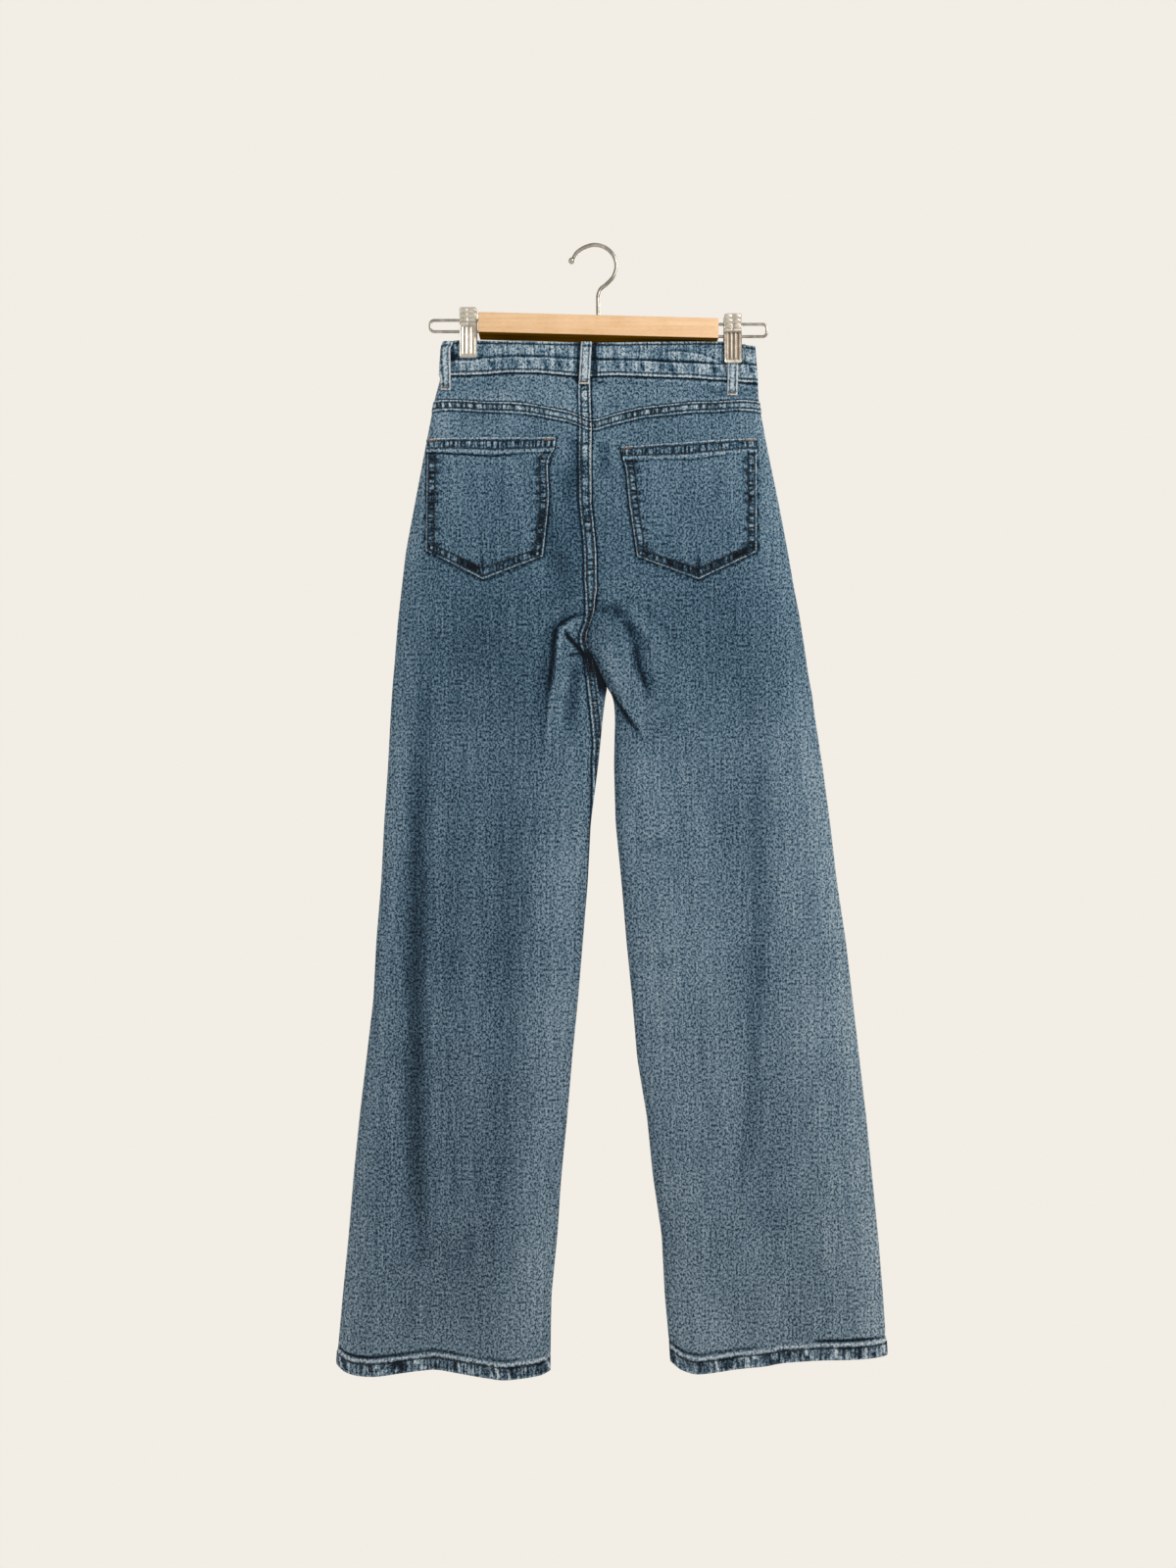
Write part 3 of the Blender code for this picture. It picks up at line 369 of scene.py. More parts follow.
def fold_height(face, x, z):
    """Sum of the folds of one face at each place on it."""
    total = np.zeros_like(x)
    for fold in FOLDS:
        if fold.face != face:
            continue
        gap, share = line_distance(fold.points, x, z)
        width = np.where(gap < 0, fold.left, fold.right)
        taper = fold.first + (1 - fold.first) * ease(share, 0.0, FOLD_TAPER)
        taper *= fold.last + (1 - fold.last) * ease(1 - share, 0.0, FOLD_TAPER)
        total += fold.height * taper * (1 - ease(np.abs(gap), 0.0, width * 1.6))
    return total


def leg_edges(side, z):
    """Outer fold and inner edge of one half of the garment; at the crotch the halves lap a little."""
    short = HALF_GAP - CROTCH_LAP * ease(z, -360.0, -380.0) * ease(z, -460.0, -448.0)
    return section(side + "_side", z), section(side + "_inner", z) - TOWARD[side] * short


def skin_y(face, side, x, z):
    """Distance of the cloth's outer face from the middle plane."""
    outer, inner = leg_edges(side, z)
    depth = section(face, z)
    nearest = np.minimum(np.abs(x - CLIP_X[0]), np.abs(x - CLIP_X[1]))
    flat = (1 - ease(nearest, 10.0, 48.0)) * (1 - ease(z, WAIST_LEVEL + 10, HIP_LEVEL))
    depth = depth + (WAIST_PINCH - depth) * flat
    end_round = WAIST_END_ROUND + (LEG_END_ROUND - WAIST_END_ROUND) * ease(z, WAIST_LEVEL, HIP_LEVEL)
    rounding = rounded_end(np.abs(x - outer), end_round)
    parted = ease(z, CROTCH_LEVEL + 75, CROTCH_LEVEL)
    inner_rounding = 1 + (rounded_end(np.abs(inner - x), LEG_END_ROUND) - 1) * parted
    fade = ease(np.abs(x - outer), 0.0, 22.0)
    fade = fade * (1 - parted * (1 - ease(np.abs(inner - x), 0.0, 10.0)))
    swell = 0.5 * wander(x, z, 46.0, 90.0, 5) * ease(np.abs(x - outer), 4.0, 40.0)
    return HALF_GAP + depth * rounding * inner_rounding + (fold_height(face, x, z) + swell) * fade


def hem_shift(x, z):
    """Swing of the cloth along Y, largest at the bottom edge."""
    return along(HEM_WAVE, x) * ease(z, HEM_LEVEL + HEM_WAVE_REACH, HEM_LEVEL)


def skin_point(face, side, x, z, lift):
    """Points of the cloth's outer face, moved out of the cloth by lift."""
    outward = -1.0 if face == "back" else 1.0
    step = 0.6      # reach of the slope's measure
    slope = (skin_y(face, side, x + step, z) - skin_y(face, side, x - step, z)) / (2 * step)
    outer, inner = leg_edges(side, z)
    toward = TOWARD[side]
    from_fold = np.abs(x - outer)
    steep = toward * skin_y(face, side, outer + toward * 2 * step, z) / (2 * step)
    slope = np.where(from_fold < step, steep * np.where(from_fold < 0.1, 4.0, 1.5), slope)
    length = np.hypot(slope, 1.0)
    y = np.maximum(skin_y(face, side, x, z) + lift / length, HALF_GAP)
    x_out = x - slope * lift / length
    x_out = np.minimum(x_out, inner) if side == "left" else np.maximum(x_out, inner)
    return np.stack([x_out, outward * y + hem_shift(x, z), z + 0.0 * x], axis=-1)


def relief(face, side, x, z, reach=5.0):
    """Wear and painted shade from the cloth's own form: above 0 on a ridge, rubbed pale and painted light;
    below 0 in a crease, kept dark and painted shade.
    """
    around = sum(
        skin_y(face, side, x + across, z + up)
        for across, up in ((reach, 0), (-reach, 0), (0, reach), (0, -reach))
    )
    outer, inner = leg_edges(side, z)
    parted = ease(z, CROTCH_LEVEL + 75, CROTCH_LEVEL)
    clear = ease(np.abs(x - outer), 3.0, 4.0 + 3.0 * reach)
    clear = clear * (1 - parted * (1 - ease(np.abs(inner - x), 2.0, 3.0 + 2.0 * reach)))
    return np.clip((skin_y(face, side, x, z) - around / 4) * 0.7, -0.9, 0.3) * clear


# Lines of painted shade and painted light: how pale or dark, how wide to the left and to the right
# of the way along the points, and the points. Sharp dark ones are painted shadows where one fold
# covers another at the crotch, and wide ones are painted shade in the troughs and painted light on
# the ridges of the legs; the pale ones also stand for rubbed wear.
Shade = namedtuple("Shade", "side tone left right points")
SHADES = [Shade(*row) for row in (
    ("left", -0.7, 1.2, 4.2, (
        (-35, -391), (-36.4, -394), (-38.4, -407), (-38.8, -423), (-41.6, -444), (-44.4, -462),
    )),
    ("left", 0.5, 2.2, 1.0, (
        (-8, -381), (-20, -384.5), (-28, -389.5), (-33.5, -395), (-35.5, -408), (-36, -440),
    )),
    ("left", -1.7, 0.9, 0.9, ((-31, -391.5), (-26.1, -400), (-17.0, -409.4), (-13.6, -414))),
    ("left", -1.6, 0.8, 0.8, ((-27, -419), (-21, -417), (-14, -414.5))),
    ("left", -0.5, 4.0, 2.5, ((-6, -376.5), (-18, -378.5), (-28, -383.5), (-35, -389.5))),
    ("left", -0.4, 16, 14, ((-26, -215), (-22, -300), (-22, -376))),
    ("left", -0.4, 9, 9, ((-180, -530), (-181, -700), (-181, -920), (-172, -1040))),
    ("left", 0.35, 22, 40, ((-22, -540), (-28, -700), (-34, -860), (-46, -1060), (-50, -1120))),
    ("right", -0.4, 5.0, 5.0, ((1, -372), (8, -368), (16, -371))),
    ("right", -0.7, 5.0, 5.0, ((18, -373), (30, -376), (36, -388), (41, -406))),
    ("right", -0.9, 3.0, 1.4, (
        (41, -402), (42, -414), (44.3, -430), (48.8, -441), (52.2, -450), (54.5, -466),
    )),
    ("right", -2.2, 0.5, 1.6, (
        (17, -454), (20.4, -459.3), (25.0, -467.2), (32.9, -477.4), (43.1, -488.8),
    )),
    ("right", 0.4, 9, 7, ((8, -400), (18, -428), (30, -452), (44, -480))),
    ("right", -0.3, 9, 9, ((168, -500), (166, -700), (158, -900), (150, -960))),
)]


def shaded(side, x, z):
    """Sum of the lines of painted shade and light on one half of the back."""
    wear_and_shade = np.zeros_like(x)
    for shade in SHADES:
        if shade.side == side:
            gap, share = line_distance(shade.points, x, z)
            width = np.where(gap > 0, shade.right, shade.left)
            ends = ease(share, 0.0, 0.15) * ease(1 - share, 0.0, 0.3)
            wear_and_shade += shade.tone * ridge(gap, width) * ends
    return wear_and_shade


# Washed indigo twill: blue warp over pale weft, so it shows as a fine blue and grey speckle with
# upright streaks. Ridges and edges are rubbed pale, and creases keep their dark dye; the worn mark
# also carries painted shade in creases, hollows and under folds and laps, and painted light on
# ridges and fold edges.
INDIGO = (
    (0.0, "#0a121b"), (0.2, "#182836"), (0.42, "#364d5f"), (0.58, "#597286"), (0.76, "#7f93a2"),
    (1.0, "#b9c3ca"),
)
TWILL_PITCH = 1.1       # diagonal ribs, drawn about twice as coarse as real so that they show
TWILL_ANGLE = 62.0
SPECKLE = (1.9, 2.7)    # width and height of the warp's dark flecks, a few yarns of 0.5 mm
SPECKLE_TOP = 0.57      # the pale weft is even, so what is paler than this is cut off
STREAK = (2.6, 70.0)
CLOUD = (95.0, 95.0)    # patches of the uneven wash
PUCKER = (3.0, 26.0)    # spacing and length of the pulls across a seam
MARKS = ("worn_and_shaded", "pull_across", "pull_down")    # what each point of the cloth carries

denim, tree, shader = new_material("washed_indigo_denim_twill", roughness=0.9, sheen_weight=0.04)
shader.inputs["Specular IOR Level"].default_value = 0.12
cloth_place = add_node(tree, "ShaderNodeUVMap", uv_map="cloth").outputs["UV"]
worn_and_shaded, pull_across, pull_down = (
    add_node(tree, "ShaderNodeAttribute", attribute_name=label).outputs["Fac"] for label in MARKS
)


def set_stops(ramp, stops):
    """Give a colour ramp its stops of position and sRGB hex; returns its colour."""
    for position, _ in stops[1:-1]:
        ramp.color_ramp.elements.new(position)
    for stop, (position, colour) in zip(ramp.color_ramp.elements, stops):
        stop.position, stop.color = position, linear(colour)
    return ramp.outputs["Color"]


def patches(tree, place, size, detail, roughness=0.6):
    """Noise with patches of the given width and height in millimetres."""
    scaled = add_node(tree, "ShaderNodeMapping", {
        "Vector": place, "Scale": (1 / MM / size[0], 1 / MM / size[1], 1.0),
    })
    return add_node(tree, "ShaderNodeTexNoise", {
        "Vector": scaled.outputs["Vector"], "Scale": 1.0, "Detail": detail, "Roughness": roughness,
    }).outputs["Fac"]


def weighted(tree, parts):
    """Sum of (value - middle) * weight over the parts."""
    total = None
    for value, middle, weight in parts:
        centred = add_node(tree, "ShaderNodeMath", {0: value, 1: middle}, operation="SUBTRACT")
        links = {0: centred.outputs[0], 1: weight, 2: total if total is not None else 0.0}
        total = add_node(tree, "ShaderNodeMath", links, operation="MULTIPLY_ADD").outputs[0]
    return total


speckle = patches(tree, cloth_place, SPECKLE, 2.0, 0.7)
speckle = add_node(tree, "ShaderNodeMath", {0: speckle, 1: SPECKLE_TOP}, operation="MINIMUM").outputs[0]
streak = patches(tree, cloth_place, STREAK, 1.0)
cloud = patches(tree, cloth_place, CLOUD, 2.0)
pulls = patches(tree, cloth_place, PUCKER, 1.0)
pulls_beside = patches(tree, cloth_place, PUCKER[::-1], 1.0)
turned = add_node(tree, "ShaderNodeMapping", {
    "Vector": cloth_place, "Rotation": (0.0, 0.0, math.radians(TWILL_ANGLE)),
})
twill = add_node(tree, "ShaderNodeTexWave", {
    "Vector": turned.outputs["Vector"], "Scale": math.pi / 20.0 / (TWILL_PITCH * MM), "Distortion": 0.6,
}, wave_type="BANDS", bands_direction="X", wave_profile="SIN").outputs["Fac"]
pulled = []
for value, share in ((pulls, pull_across), (pulls_beside, pull_down)):
    bars = add_node(tree, "ShaderNodeMapRange", {
        "Value": value, "From Min": 0.38, "From Max": 0.6, "To Min": -0.95, "To Max": 0.35,
    })
    links = {0: bars.outputs["Result"], 1: share}
    pulled.append(add_node(tree, "ShaderNodeMath", links, operation="MULTIPLY").outputs[0])
across, beside = pulled
# the worn mark darkens and lightens the dye: rubbed wear and kept dye, with painted shade and painted
# light
dye_and_shade = weighted(tree, (
    (speckle, 0.5, 2.5), (streak, 0.5, 0.3), (cloud, 0.5, 0.15), (twill, 0.5, 0.05), (worn_and_shaded, 0.0, 0.3),
    (across, 0.0, 0.5), (beside, 0.0, 0.5), (0.47, 0.0, 1.0),
))
dyed = set_stops(add_node(tree, "ShaderNodeValToRGB", {"Fac": dye_and_shade}), INDIGO)
# the wash greys the lower legs a little
height = add_node(tree, "ShaderNodeSeparateXYZ", {"Vector": cloth_place}).outputs["Y"]
greying = add_node(tree, "ShaderNodeMapRange", {
    "Value": height, "From Min": -1.1, "From Max": -0.3, "To Min": 0.9, "To Max": 1.1,
})
greyed = add_node(tree, "ShaderNodeHueSaturation", {
    "Saturation": greying.outputs["Result"], "Color": dyed,
})
tree.links.new(greyed.outputs["Color"], shader.inputs["Base Color"])
surface = weighted(tree, (
    (speckle, 0.5, 0.5), (twill, 0.5, 0.25), (across, 0.0, 0.5), (beside, 0.0, 0.5), (0.5, 0.0, 1.0),
))
bump = add_node(tree, "ShaderNodeBump", {"Height": surface, "Strength": 0.6, "Distance": 0.0006})
tree.links.new(bump.outputs["Normal"], shader.inputs["Normal"])

# The twill's reverse, where the undyed weft shows most
REVERSE = ((0.0, "#5d6f7c"), (0.5, "#93a1aa"), (1.0, "#c4cbce"))
denim_reverse, tree, shader = new_material("denim_twill_reverse", roughness=0.92)
place = add_node(tree, "ShaderNodeUVMap", uv_map="cloth").outputs["UV"]
flecks = patches(tree, place, (2.0, 2.4), 2.0)
bands = patches(tree, place, (60.0, 3.0), 1.0)
pale = weighted(tree, ((flecks, 0.5, 1.4), (bands, 0.5, 0.5), (0.5, 0.0, 1.0)))
dyed = set_stops(add_node(tree, "ShaderNodeValToRGB", {"Fac": pale}), REVERSE)
tree.links.new(dyed, shader.inputs["Base Color"])
bump = add_node(tree, "ShaderNodeBump", {"Height": flecks, "Strength": 0.4, "Distance": 0.0004})
tree.links.new(bump.outputs["Normal"], shader.inputs["Normal"])


def grid_mesh(name, points, marks):
    """Smooth mesh through a grid of points in millimetres, facing away from the middle plane,
    with its marks at each point; also returns each vertex's row and column."""
    rows, columns = points.shape[:2]
    bm = bmesh.new()
    bmesh.ops.create_grid(bm, x_segments=columns - 1, y_segments=rows - 1, size=0.5)
    mesh = bpy.data.meshes.new(name)
    bm.to_mesh(mesh)
    bm.free()
    square = np.empty(len(mesh.vertices) * 3)
    mesh.vertices.foreach_get("co", square)
    square = square.reshape(-1, 3)
    column = np.rint((square[:, 0] + 0.5) * (columns - 1)).astype(int)
    row = np.rint((square[:, 1] + 0.5) * (rows - 1)).astype(int)
    mesh.vertices.foreach_set("co", (points[row, column] * MM).ravel())
    for label, field in marks.items():
        layer = mesh.attributes.new(label, "FLOAT", "POINT")
        spread = np.broadcast_to(field, (rows, columns))
        layer.data.foreach_set("value", spread[row, column].astype(np.float32))
    mesh.update()
    facing = np.empty(len(mesh.vertices) * 3)
    mesh.vertices.foreach_get("normal", facing)
    if (facing.reshape(-1, 3)[:, 1] * np.sign(points[row, column, 1])).sum() < 0:
        mesh.flip_normals()
    mesh.shade_smooth()
    return mesh, row, column


def lay_cloth(name, points, flat, marks, wall, node):
    """Cloth through a grid of points, with its flat X and Z, its marks and its wall inward."""
    mesh, row, column = grid_mesh(name, points, dict(zip(MARKS, marks)))
    corner = np.empty(len(mesh.loops), dtype=np.int32)
    mesh.loops.foreach_get("vertex_index", corner)
    place = np.stack(np.broadcast_arrays(*flat), axis=-1) * MM
    flat_map = mesh.uv_layers.new(name="cloth")
    flat_map.data.foreach_set("uv", place[row, column][corner].ravel().astype(np.float32))
    mesh.materials.append(denim)
    mesh.materials.append(denim_reverse)
    made = bpy.data.objects.new(name, mesh)
    bpy.context.scene.collection.objects.link(made)
    thick = made.modifiers.new("wall", "SOLIDIFY")
    thick.thickness, thick.offset = wall * MM, -1.0
    thick.material_offset = 1
    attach(made, "root")
    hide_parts(node)
    return made


def spaced(start, *stretches):
    """Places from start over stretches of (end, step)."""
    places = [float(start)]
    for end, step in stretches:
        count = max(1, round(abs(end - places[-1]) / step))
        places += list(np.linspace(places[-1], end, count + 1)[1:])
    return np.array(places)


MIDDLE_COLUMNS = 24


def panel_x(side, z, from_fold, from_inner):
    """X of every column on every row: given steps from the side fold and from the inner edge."""
    outer, inner = leg_edges(side, z)
    width = np.abs(inner - outer)
    reach_fold, reach_inner = from_fold[-1], from_inner[-1]
    middle = spaced(0.0, (1.0, 1 / MIDDLE_COLUMNS))[1:-1]
    start = np.concatenate([from_fold, np.full(len(middle) + len(from_inner), reach_fold)])
    share = np.concatenate([np.zeros(len(from_fold)), middle, np.ones(len(from_inner))])
    end = np.concatenate([
        np.zeros(len(from_fold) + len(middle)), reach_inner - from_inner[::-1],
    ])
    run = width[..., None] - reach_fold - reach_inner
    return outer[..., None] + TOWARD[side] * (start + share * run + end)


def row_x(side, z, from_fold, from_inner):
    """X of the columns of one row whose height is given column by column."""
    columns = np.arange(len(z))
    return panel_x(side, z, from_fold, from_inner)[columns, columns]


FOLD_STEPS = spaced(0.0, (2.0, 0.5), (12.0, 1.6), (46.0, 3.4))
SEAM_STEPS = spaced(0.0, (14.0, 0.85), (58.0, 1.3), (76.0, 3.0))
BACK_LEVELS = spaced(
    -196.0, (-345.0, 3.0), (-372.0, 1.6), (-500.0, 1.15), (-560.0, 2.6), (-1086.0, 4.6),
)


def hem_line(x):
    return along(HEM_LINE, x)


def yoke_line(x):
    return along(YOKE_SEAM, x)


def flow_rows(side, top_line, top_steps, levels, from_fold, from_inner):
    """X and Z of a panel's grid: rows that follow its top line, level rows, then the hem's."""
    x_rows, z_rows = [], []

    def follow(line, drop, level):
        start = panel_x(side, level, from_fold, from_inner)
        x_rows.append(row_x(side, line(start) - drop, from_fold, from_inner))
        z_rows.append(line(x_rows[-1]) - drop)

    for drop in top_steps:
        follow(top_line, drop, top_line(0.0) - drop)
    for level in levels:
        x_rows.append(panel_x(side, level, from_fold, from_inner))
        z_rows.append(np.full(len(x_rows[-1]), level))
    for rise in HEM_STEPS:
        follow(hem_line, -rise, HEM_LEVEL)
    return np.array(x_rows), np.array(z_rows)


HEM_STEPS = spaced(34.0, (22.0, 1.5), (0.0, 0.7))
YOKE_ROWS = spaced(SEAM_GAP, (14.0, 0.58))

# The left inseam's lap: its left edge from the crotch down, until it turns round the leg's edge
INSEAM_EDGE = (
    (-420, -10.5), (-436, -8.5), (-462, -5.3), (-487, -2.7), (-508, -0.8), (-524, -2.0), (-552, -1.8),
    (-581, -2.6), (-618, -4.0), (-660, -6.4),
)
INSEAM_LAP = 10.0


def inseam_place(x, z):
    """Distance across the left inseam's lap from its left edge."""
    return x - at_height(INSEAM_EDGE, z)


# The wash, as wear at each height of the left and the right leg: darkest on the thighs, paler on
# the seat and the shins, and palest on the right leg
Wash = namedtuple("Wash", "z left right")
WASHES = [Wash(*row) for row in (
    (-100, 0.2, 0.25), (-150, 0.45, 0.3), (-195, 0.25, 0.15), (-250, 0.05, 0.1),
    (-400, -0.2, -0.1), (-530, 0.0, 0.25), (-650, -0.15, 0.3), (-800, -0.05, 0.3),
    (-1000, -0.1, 0.2), (-1120, 0.15, 0.3),
)]


def wash(x, z):
    """Even wear left by the wash."""
    left, right = at_height(WASHES, z, 1), at_height(WASHES, z, 2)
    return left + (right - left) * ease(x, -50.0, 60.0)


def plateau(distance, width, edge=0.7):
    """1 over a lap of the given width, with eased edges."""
    return ease(distance, -edge, edge) * (1 - ease(distance, width - edge, width + edge))


def hem_marks(x, z):
    """Lift and wear of a turned hem, roped and rubbed in thin slanted lines, with a painted shadow in the
    crease above it.
    """
    rise = z - hem_line(x)
    turned = 1 - ease(rise, HEM_DEPTH - 0.5, HEM_DEPTH + 1.2)
    slant = x + 0.3 * rise
    rope = streaks(slant, 7.5, 11) + 0.5 * streaks(slant, 3.3, 12)
    line = np.clip(streaks(slant + 40, 2.8, 13) - 0.45, 0.0, 1.0) * 3.5
    inside = turned * ease(rise, 0.6, 3.0)
    lift = turned * HEM_PROUD + inside * 0.45 * rope
    lift += 0.5 * ridge(rise - 15.2, 2.0) - 0.7 * ridge(rise - 19.4, 2.2)
    wear_and_shade = inside * (1.3 * line - 1.1 * np.clip(rope + 0.2, 0.0, 1.0) - 0.1)
    wear_and_shade += 0.4 * ridge(rise - 0.6, 1.4) + 1.0 * ridge(rise - 15.3, 1.4)
    crease = np.clip(0.6 + 0.9 * streaks(x, 30.0, 14), 0.0, 1.3)
    # painted shadow in the crease above the hem, and a dark line along its row of stitches
    wear_and_shade = wear_and_shade - 2.0 * crease * ridge(rise - 19.2, 1.4) - 2.4 * ridge(rise - HEM_DEPTH + 0.8, 0.8)
    return lift, wear_and_shade


def in_hem(x, z):
    """1 inside the turned hem, 0 over it."""
    return 1 - ease(z - hem_line(x), 10.5, 12.0)


# The centre back lap is drawn narrow where it turns into the crotch
SEAM_WIDTHS = ((-345, LAP_WIDTH), (-371, 8.5), (-385, 6.5), (-404, 7.0), (-415, 8.0))


def seam_width(z):
    return at_height(SEAM_WIDTHS, z)


ROW_SHADE = 0.75        # half width of the dark line in which a row of stitches lies
LAP_ROWS, INSEAM_ROWS = (2.6, 8.4), (2.7, 7.6)


def double_row(place, width, edge=1.0):
    """Wear across a double-stitched lap: pale rims, dark rows, and a painted shadow in a dark line at its
    foot.
    """
    rims = ridge(place - 0.7, 0.6) + 0.85 * ridge(place - width + 0.7, 0.7)
    rows = ridge(place - 2.7, ROW_SHADE) + ridge(place - width + 2.6, ROW_SHADE)
    between = plateau(place - 3.4, width - 6.8)
    return 1.1 * edge * rims - 1.9 * rows + 0.45 * between - 1.4 * ridge(place - width - 1.1, 1.0)


# Patch pockets, whose corners also say where they shade the panel beside them
Pocket = namedtuple("Pocket", "side top_left top_right low_right foot low_left")
POCKETS = [Pocket(*row) for row in (
    ("left", (-169.3, -198.0), (-39.0, -198.5), (-52.0, -318.5), (-112.5, -342.0), (-170.2, -312.5)),
    ("right", (26.5, -208.0), (164.0, -198.0), (163.5, -314.0), (105.0, -342.0), (43.0, -319.0)),
)]
POCKET_DROP = 122.0     # down a pocket's side
POCKET_BEND = 5.0       # how far the side by the centre seam draws in below the top hem


def pocket_place(pocket, across, share):
    """X and Z of a place on a pocket, across it and from its top to its foot."""
    corners = [np.array(c)[:, None, None] for c in pocket[1:]]
    top_left, top_right, low_right, foot, low_left = corners
    left_run = np.linalg.norm(foot - low_left)
    middle = left_run / (left_run + np.linalg.norm(foot - low_right))
    low = np.where(
        across < middle, low_left + (foot - low_left) * across / middle,
        foot + (low_right - foot) * (across - middle) / (1 - middle),
    )
    top = top_left + (top_right - top_left) * across
    x, z = top + (low - top) * share
    inner_side = across if pocket.side == "left" else 1 - across
    drawn = POCKET_BEND * ease(share, 0.07, 0.2) * (1 - ease(share, 0.2, 0.55)) * inner_side ** 3
    return x + (-drawn if pocket.side == "left" else 0.35 * drawn), z


def pocket_shade(side, x, z):
    """Dark line on the panel just outside a pocket's sides and foot."""
    pocket = POCKETS[0] if side == "left" else POCKETS[1]
    down = np.linspace(0.0, 1.0, 9)[None, :]
    right, left = (pocket_place(pocket, np.full_like(down, at), down) for at in (1.0, 0.0))
    rim = list(zip(right[0][0], right[1][0])) + [pocket.foot] + list(zip(left[0][0], left[1][0]))[::-1]
    return ridge(line_distance(rim, x, z)[0] + 0.7, 1.1)


def panel_marks(side, x, z):
    """Lift of a back panel, and its wear and painted shade with where its seams pull it."""
    lift, wear_and_shade = hem_marks(x, z)
    wear_and_shade += wash(x, z) + relief("back", side, x, z) + 0.4 * relief("back", side, x, z, 14.0)
    wear_and_shade += shaded(side, x, z)
    outer, inner = leg_edges(side, z)
    down = yoke_line(x) - z
    lift += LAP_PROUD * (1 - ease(down, YOKE_LAP - 0.5, YOKE_LAP + 0.9))
    wear_and_shade += double_row(down, YOKE_LAP)
    pull_across = 0.65 * plateau(down - 2.0, 7.0, 0.8) * (1.0 + streaks(x, 26.0, 15))
    from_inner = np.abs(inner - x)
    above = ease(z, -419.0, -412.0)
    pull_down = np.zeros_like(x)
    if side == "left":
        width = seam_width(z)
        lift = np.maximum(lift, LAP_PROUD * above * (1 - ease(from_inner, width - 0.5, width + 0.9)))
        wear_and_shade += above * double_row(from_inner, width, 1.15) * (down > 0)
        wear_and_shade += 0.9 * above * ease(z, -345.0, -375.0) * ridge(from_inner - 0.9, 0.9)
        uneven = 1.0 + rungs(z, 16.0, 16)
        pull_down = 0.5 * above * plateau(from_inner - 2.0, width - 4.2) * uneven
        across = inseam_place(x, z)
        below = ease(z, -415.0, -420.0) * ease(z, -690.0, -640.0)
        lap = ease(across, -0.7, 0.7) * (1 - ease(across, INSEAM_LAP, INSEAM_LAP + 1))
        lift += LAP_PROUD * below * lap
        wear_and_shade += below * (1.1 * ridge(across - 0.8, 0.7) + 0.7 * ridge(across - 9.3, 0.7))
        wear_and_shade -= below * (2.0 * ridge(across - 2.9, 0.7) + 1.7 * ridge(across - 7.5, 0.7))
        # painted shadow along the inseam lap's free left edge
        wear_and_shade -= below * 2.0 * ridge(across + 1.1, 0.9)
        pull_down += 0.7 * below * plateau(across - 2.5, 5.5, 0.8)
        # painted shadow in the hollow between the two legs, under the fold
        deep = ease(z, -462.0, -444.0) * ease(across, INSEAM_LAP - 1.0, INSEAM_LAP + 1.0)
        deep = deep + 0.7 * ease(z, -448.0, -424.0) * ease(across, -1.0, 1.0)
        wear_and_shade -= 2.8 * np.minimum(deep, 1.0) * (1 - above)
        wear_and_shade -= 2.8 * ridge(np.hypot((x + 7.0) / 6.5, (z + 417.5) / 3.6), 1.0)
    else:
        # painted shade in the seam beside the left panel's lap
        wear_and_shade -= above * 1.8 * ridge(from_inner - 0.5, 1.1)
    wear_and_shade -= 1.7 * pocket_shade(side, x, z)
    # pale along the side fold: a narrow rubbed edge, and a wider band of painted light in from it
    wear_and_shade += 0.3 * ridge(np.abs(x - outer), 2.2) + 0.35 * ridge(np.abs(x - outer) - 7.0, 15.0)
    uneven = 0.65 + 0.35 * streaks(x, 12.0, 17)
    return lift, (wear_and_shade, pull_across + in_hem(x, z) * uneven, pull_down)


BackPanel = namedtuple("BackPanel", "side width length area")
BACK_PANELS = (
    BackPanel("left", 0.29, 0.985, 0.226),
    BackPanel("right", 0.29, 0.985, 0.228),
)
PANEL_WALL = 1.3
for panel in BACK_PANELS:
    x, z = flow_rows(panel.side, yoke_line, YOKE_ROWS, BACK_LEVELS, FOLD_STEPS, SEAM_STEPS)
    lift, marks = panel_marks(panel.side, x, z)
    points = skin_point("back", panel.side, x, z, lift)
    made = lay_cloth(
        "denim_back_" + panel.side, points, (x, z), marks, PANEL_WALL, "back_" + panel.side,
    )


# Yokes
# Two shaped strips of the same denim between the waistband and the back panels. Their lower edge
# goes under the felled seam, and the left one carries the centre back lap on upward.
def waist_line(x):
    return along(WAIST_SEAM, x)


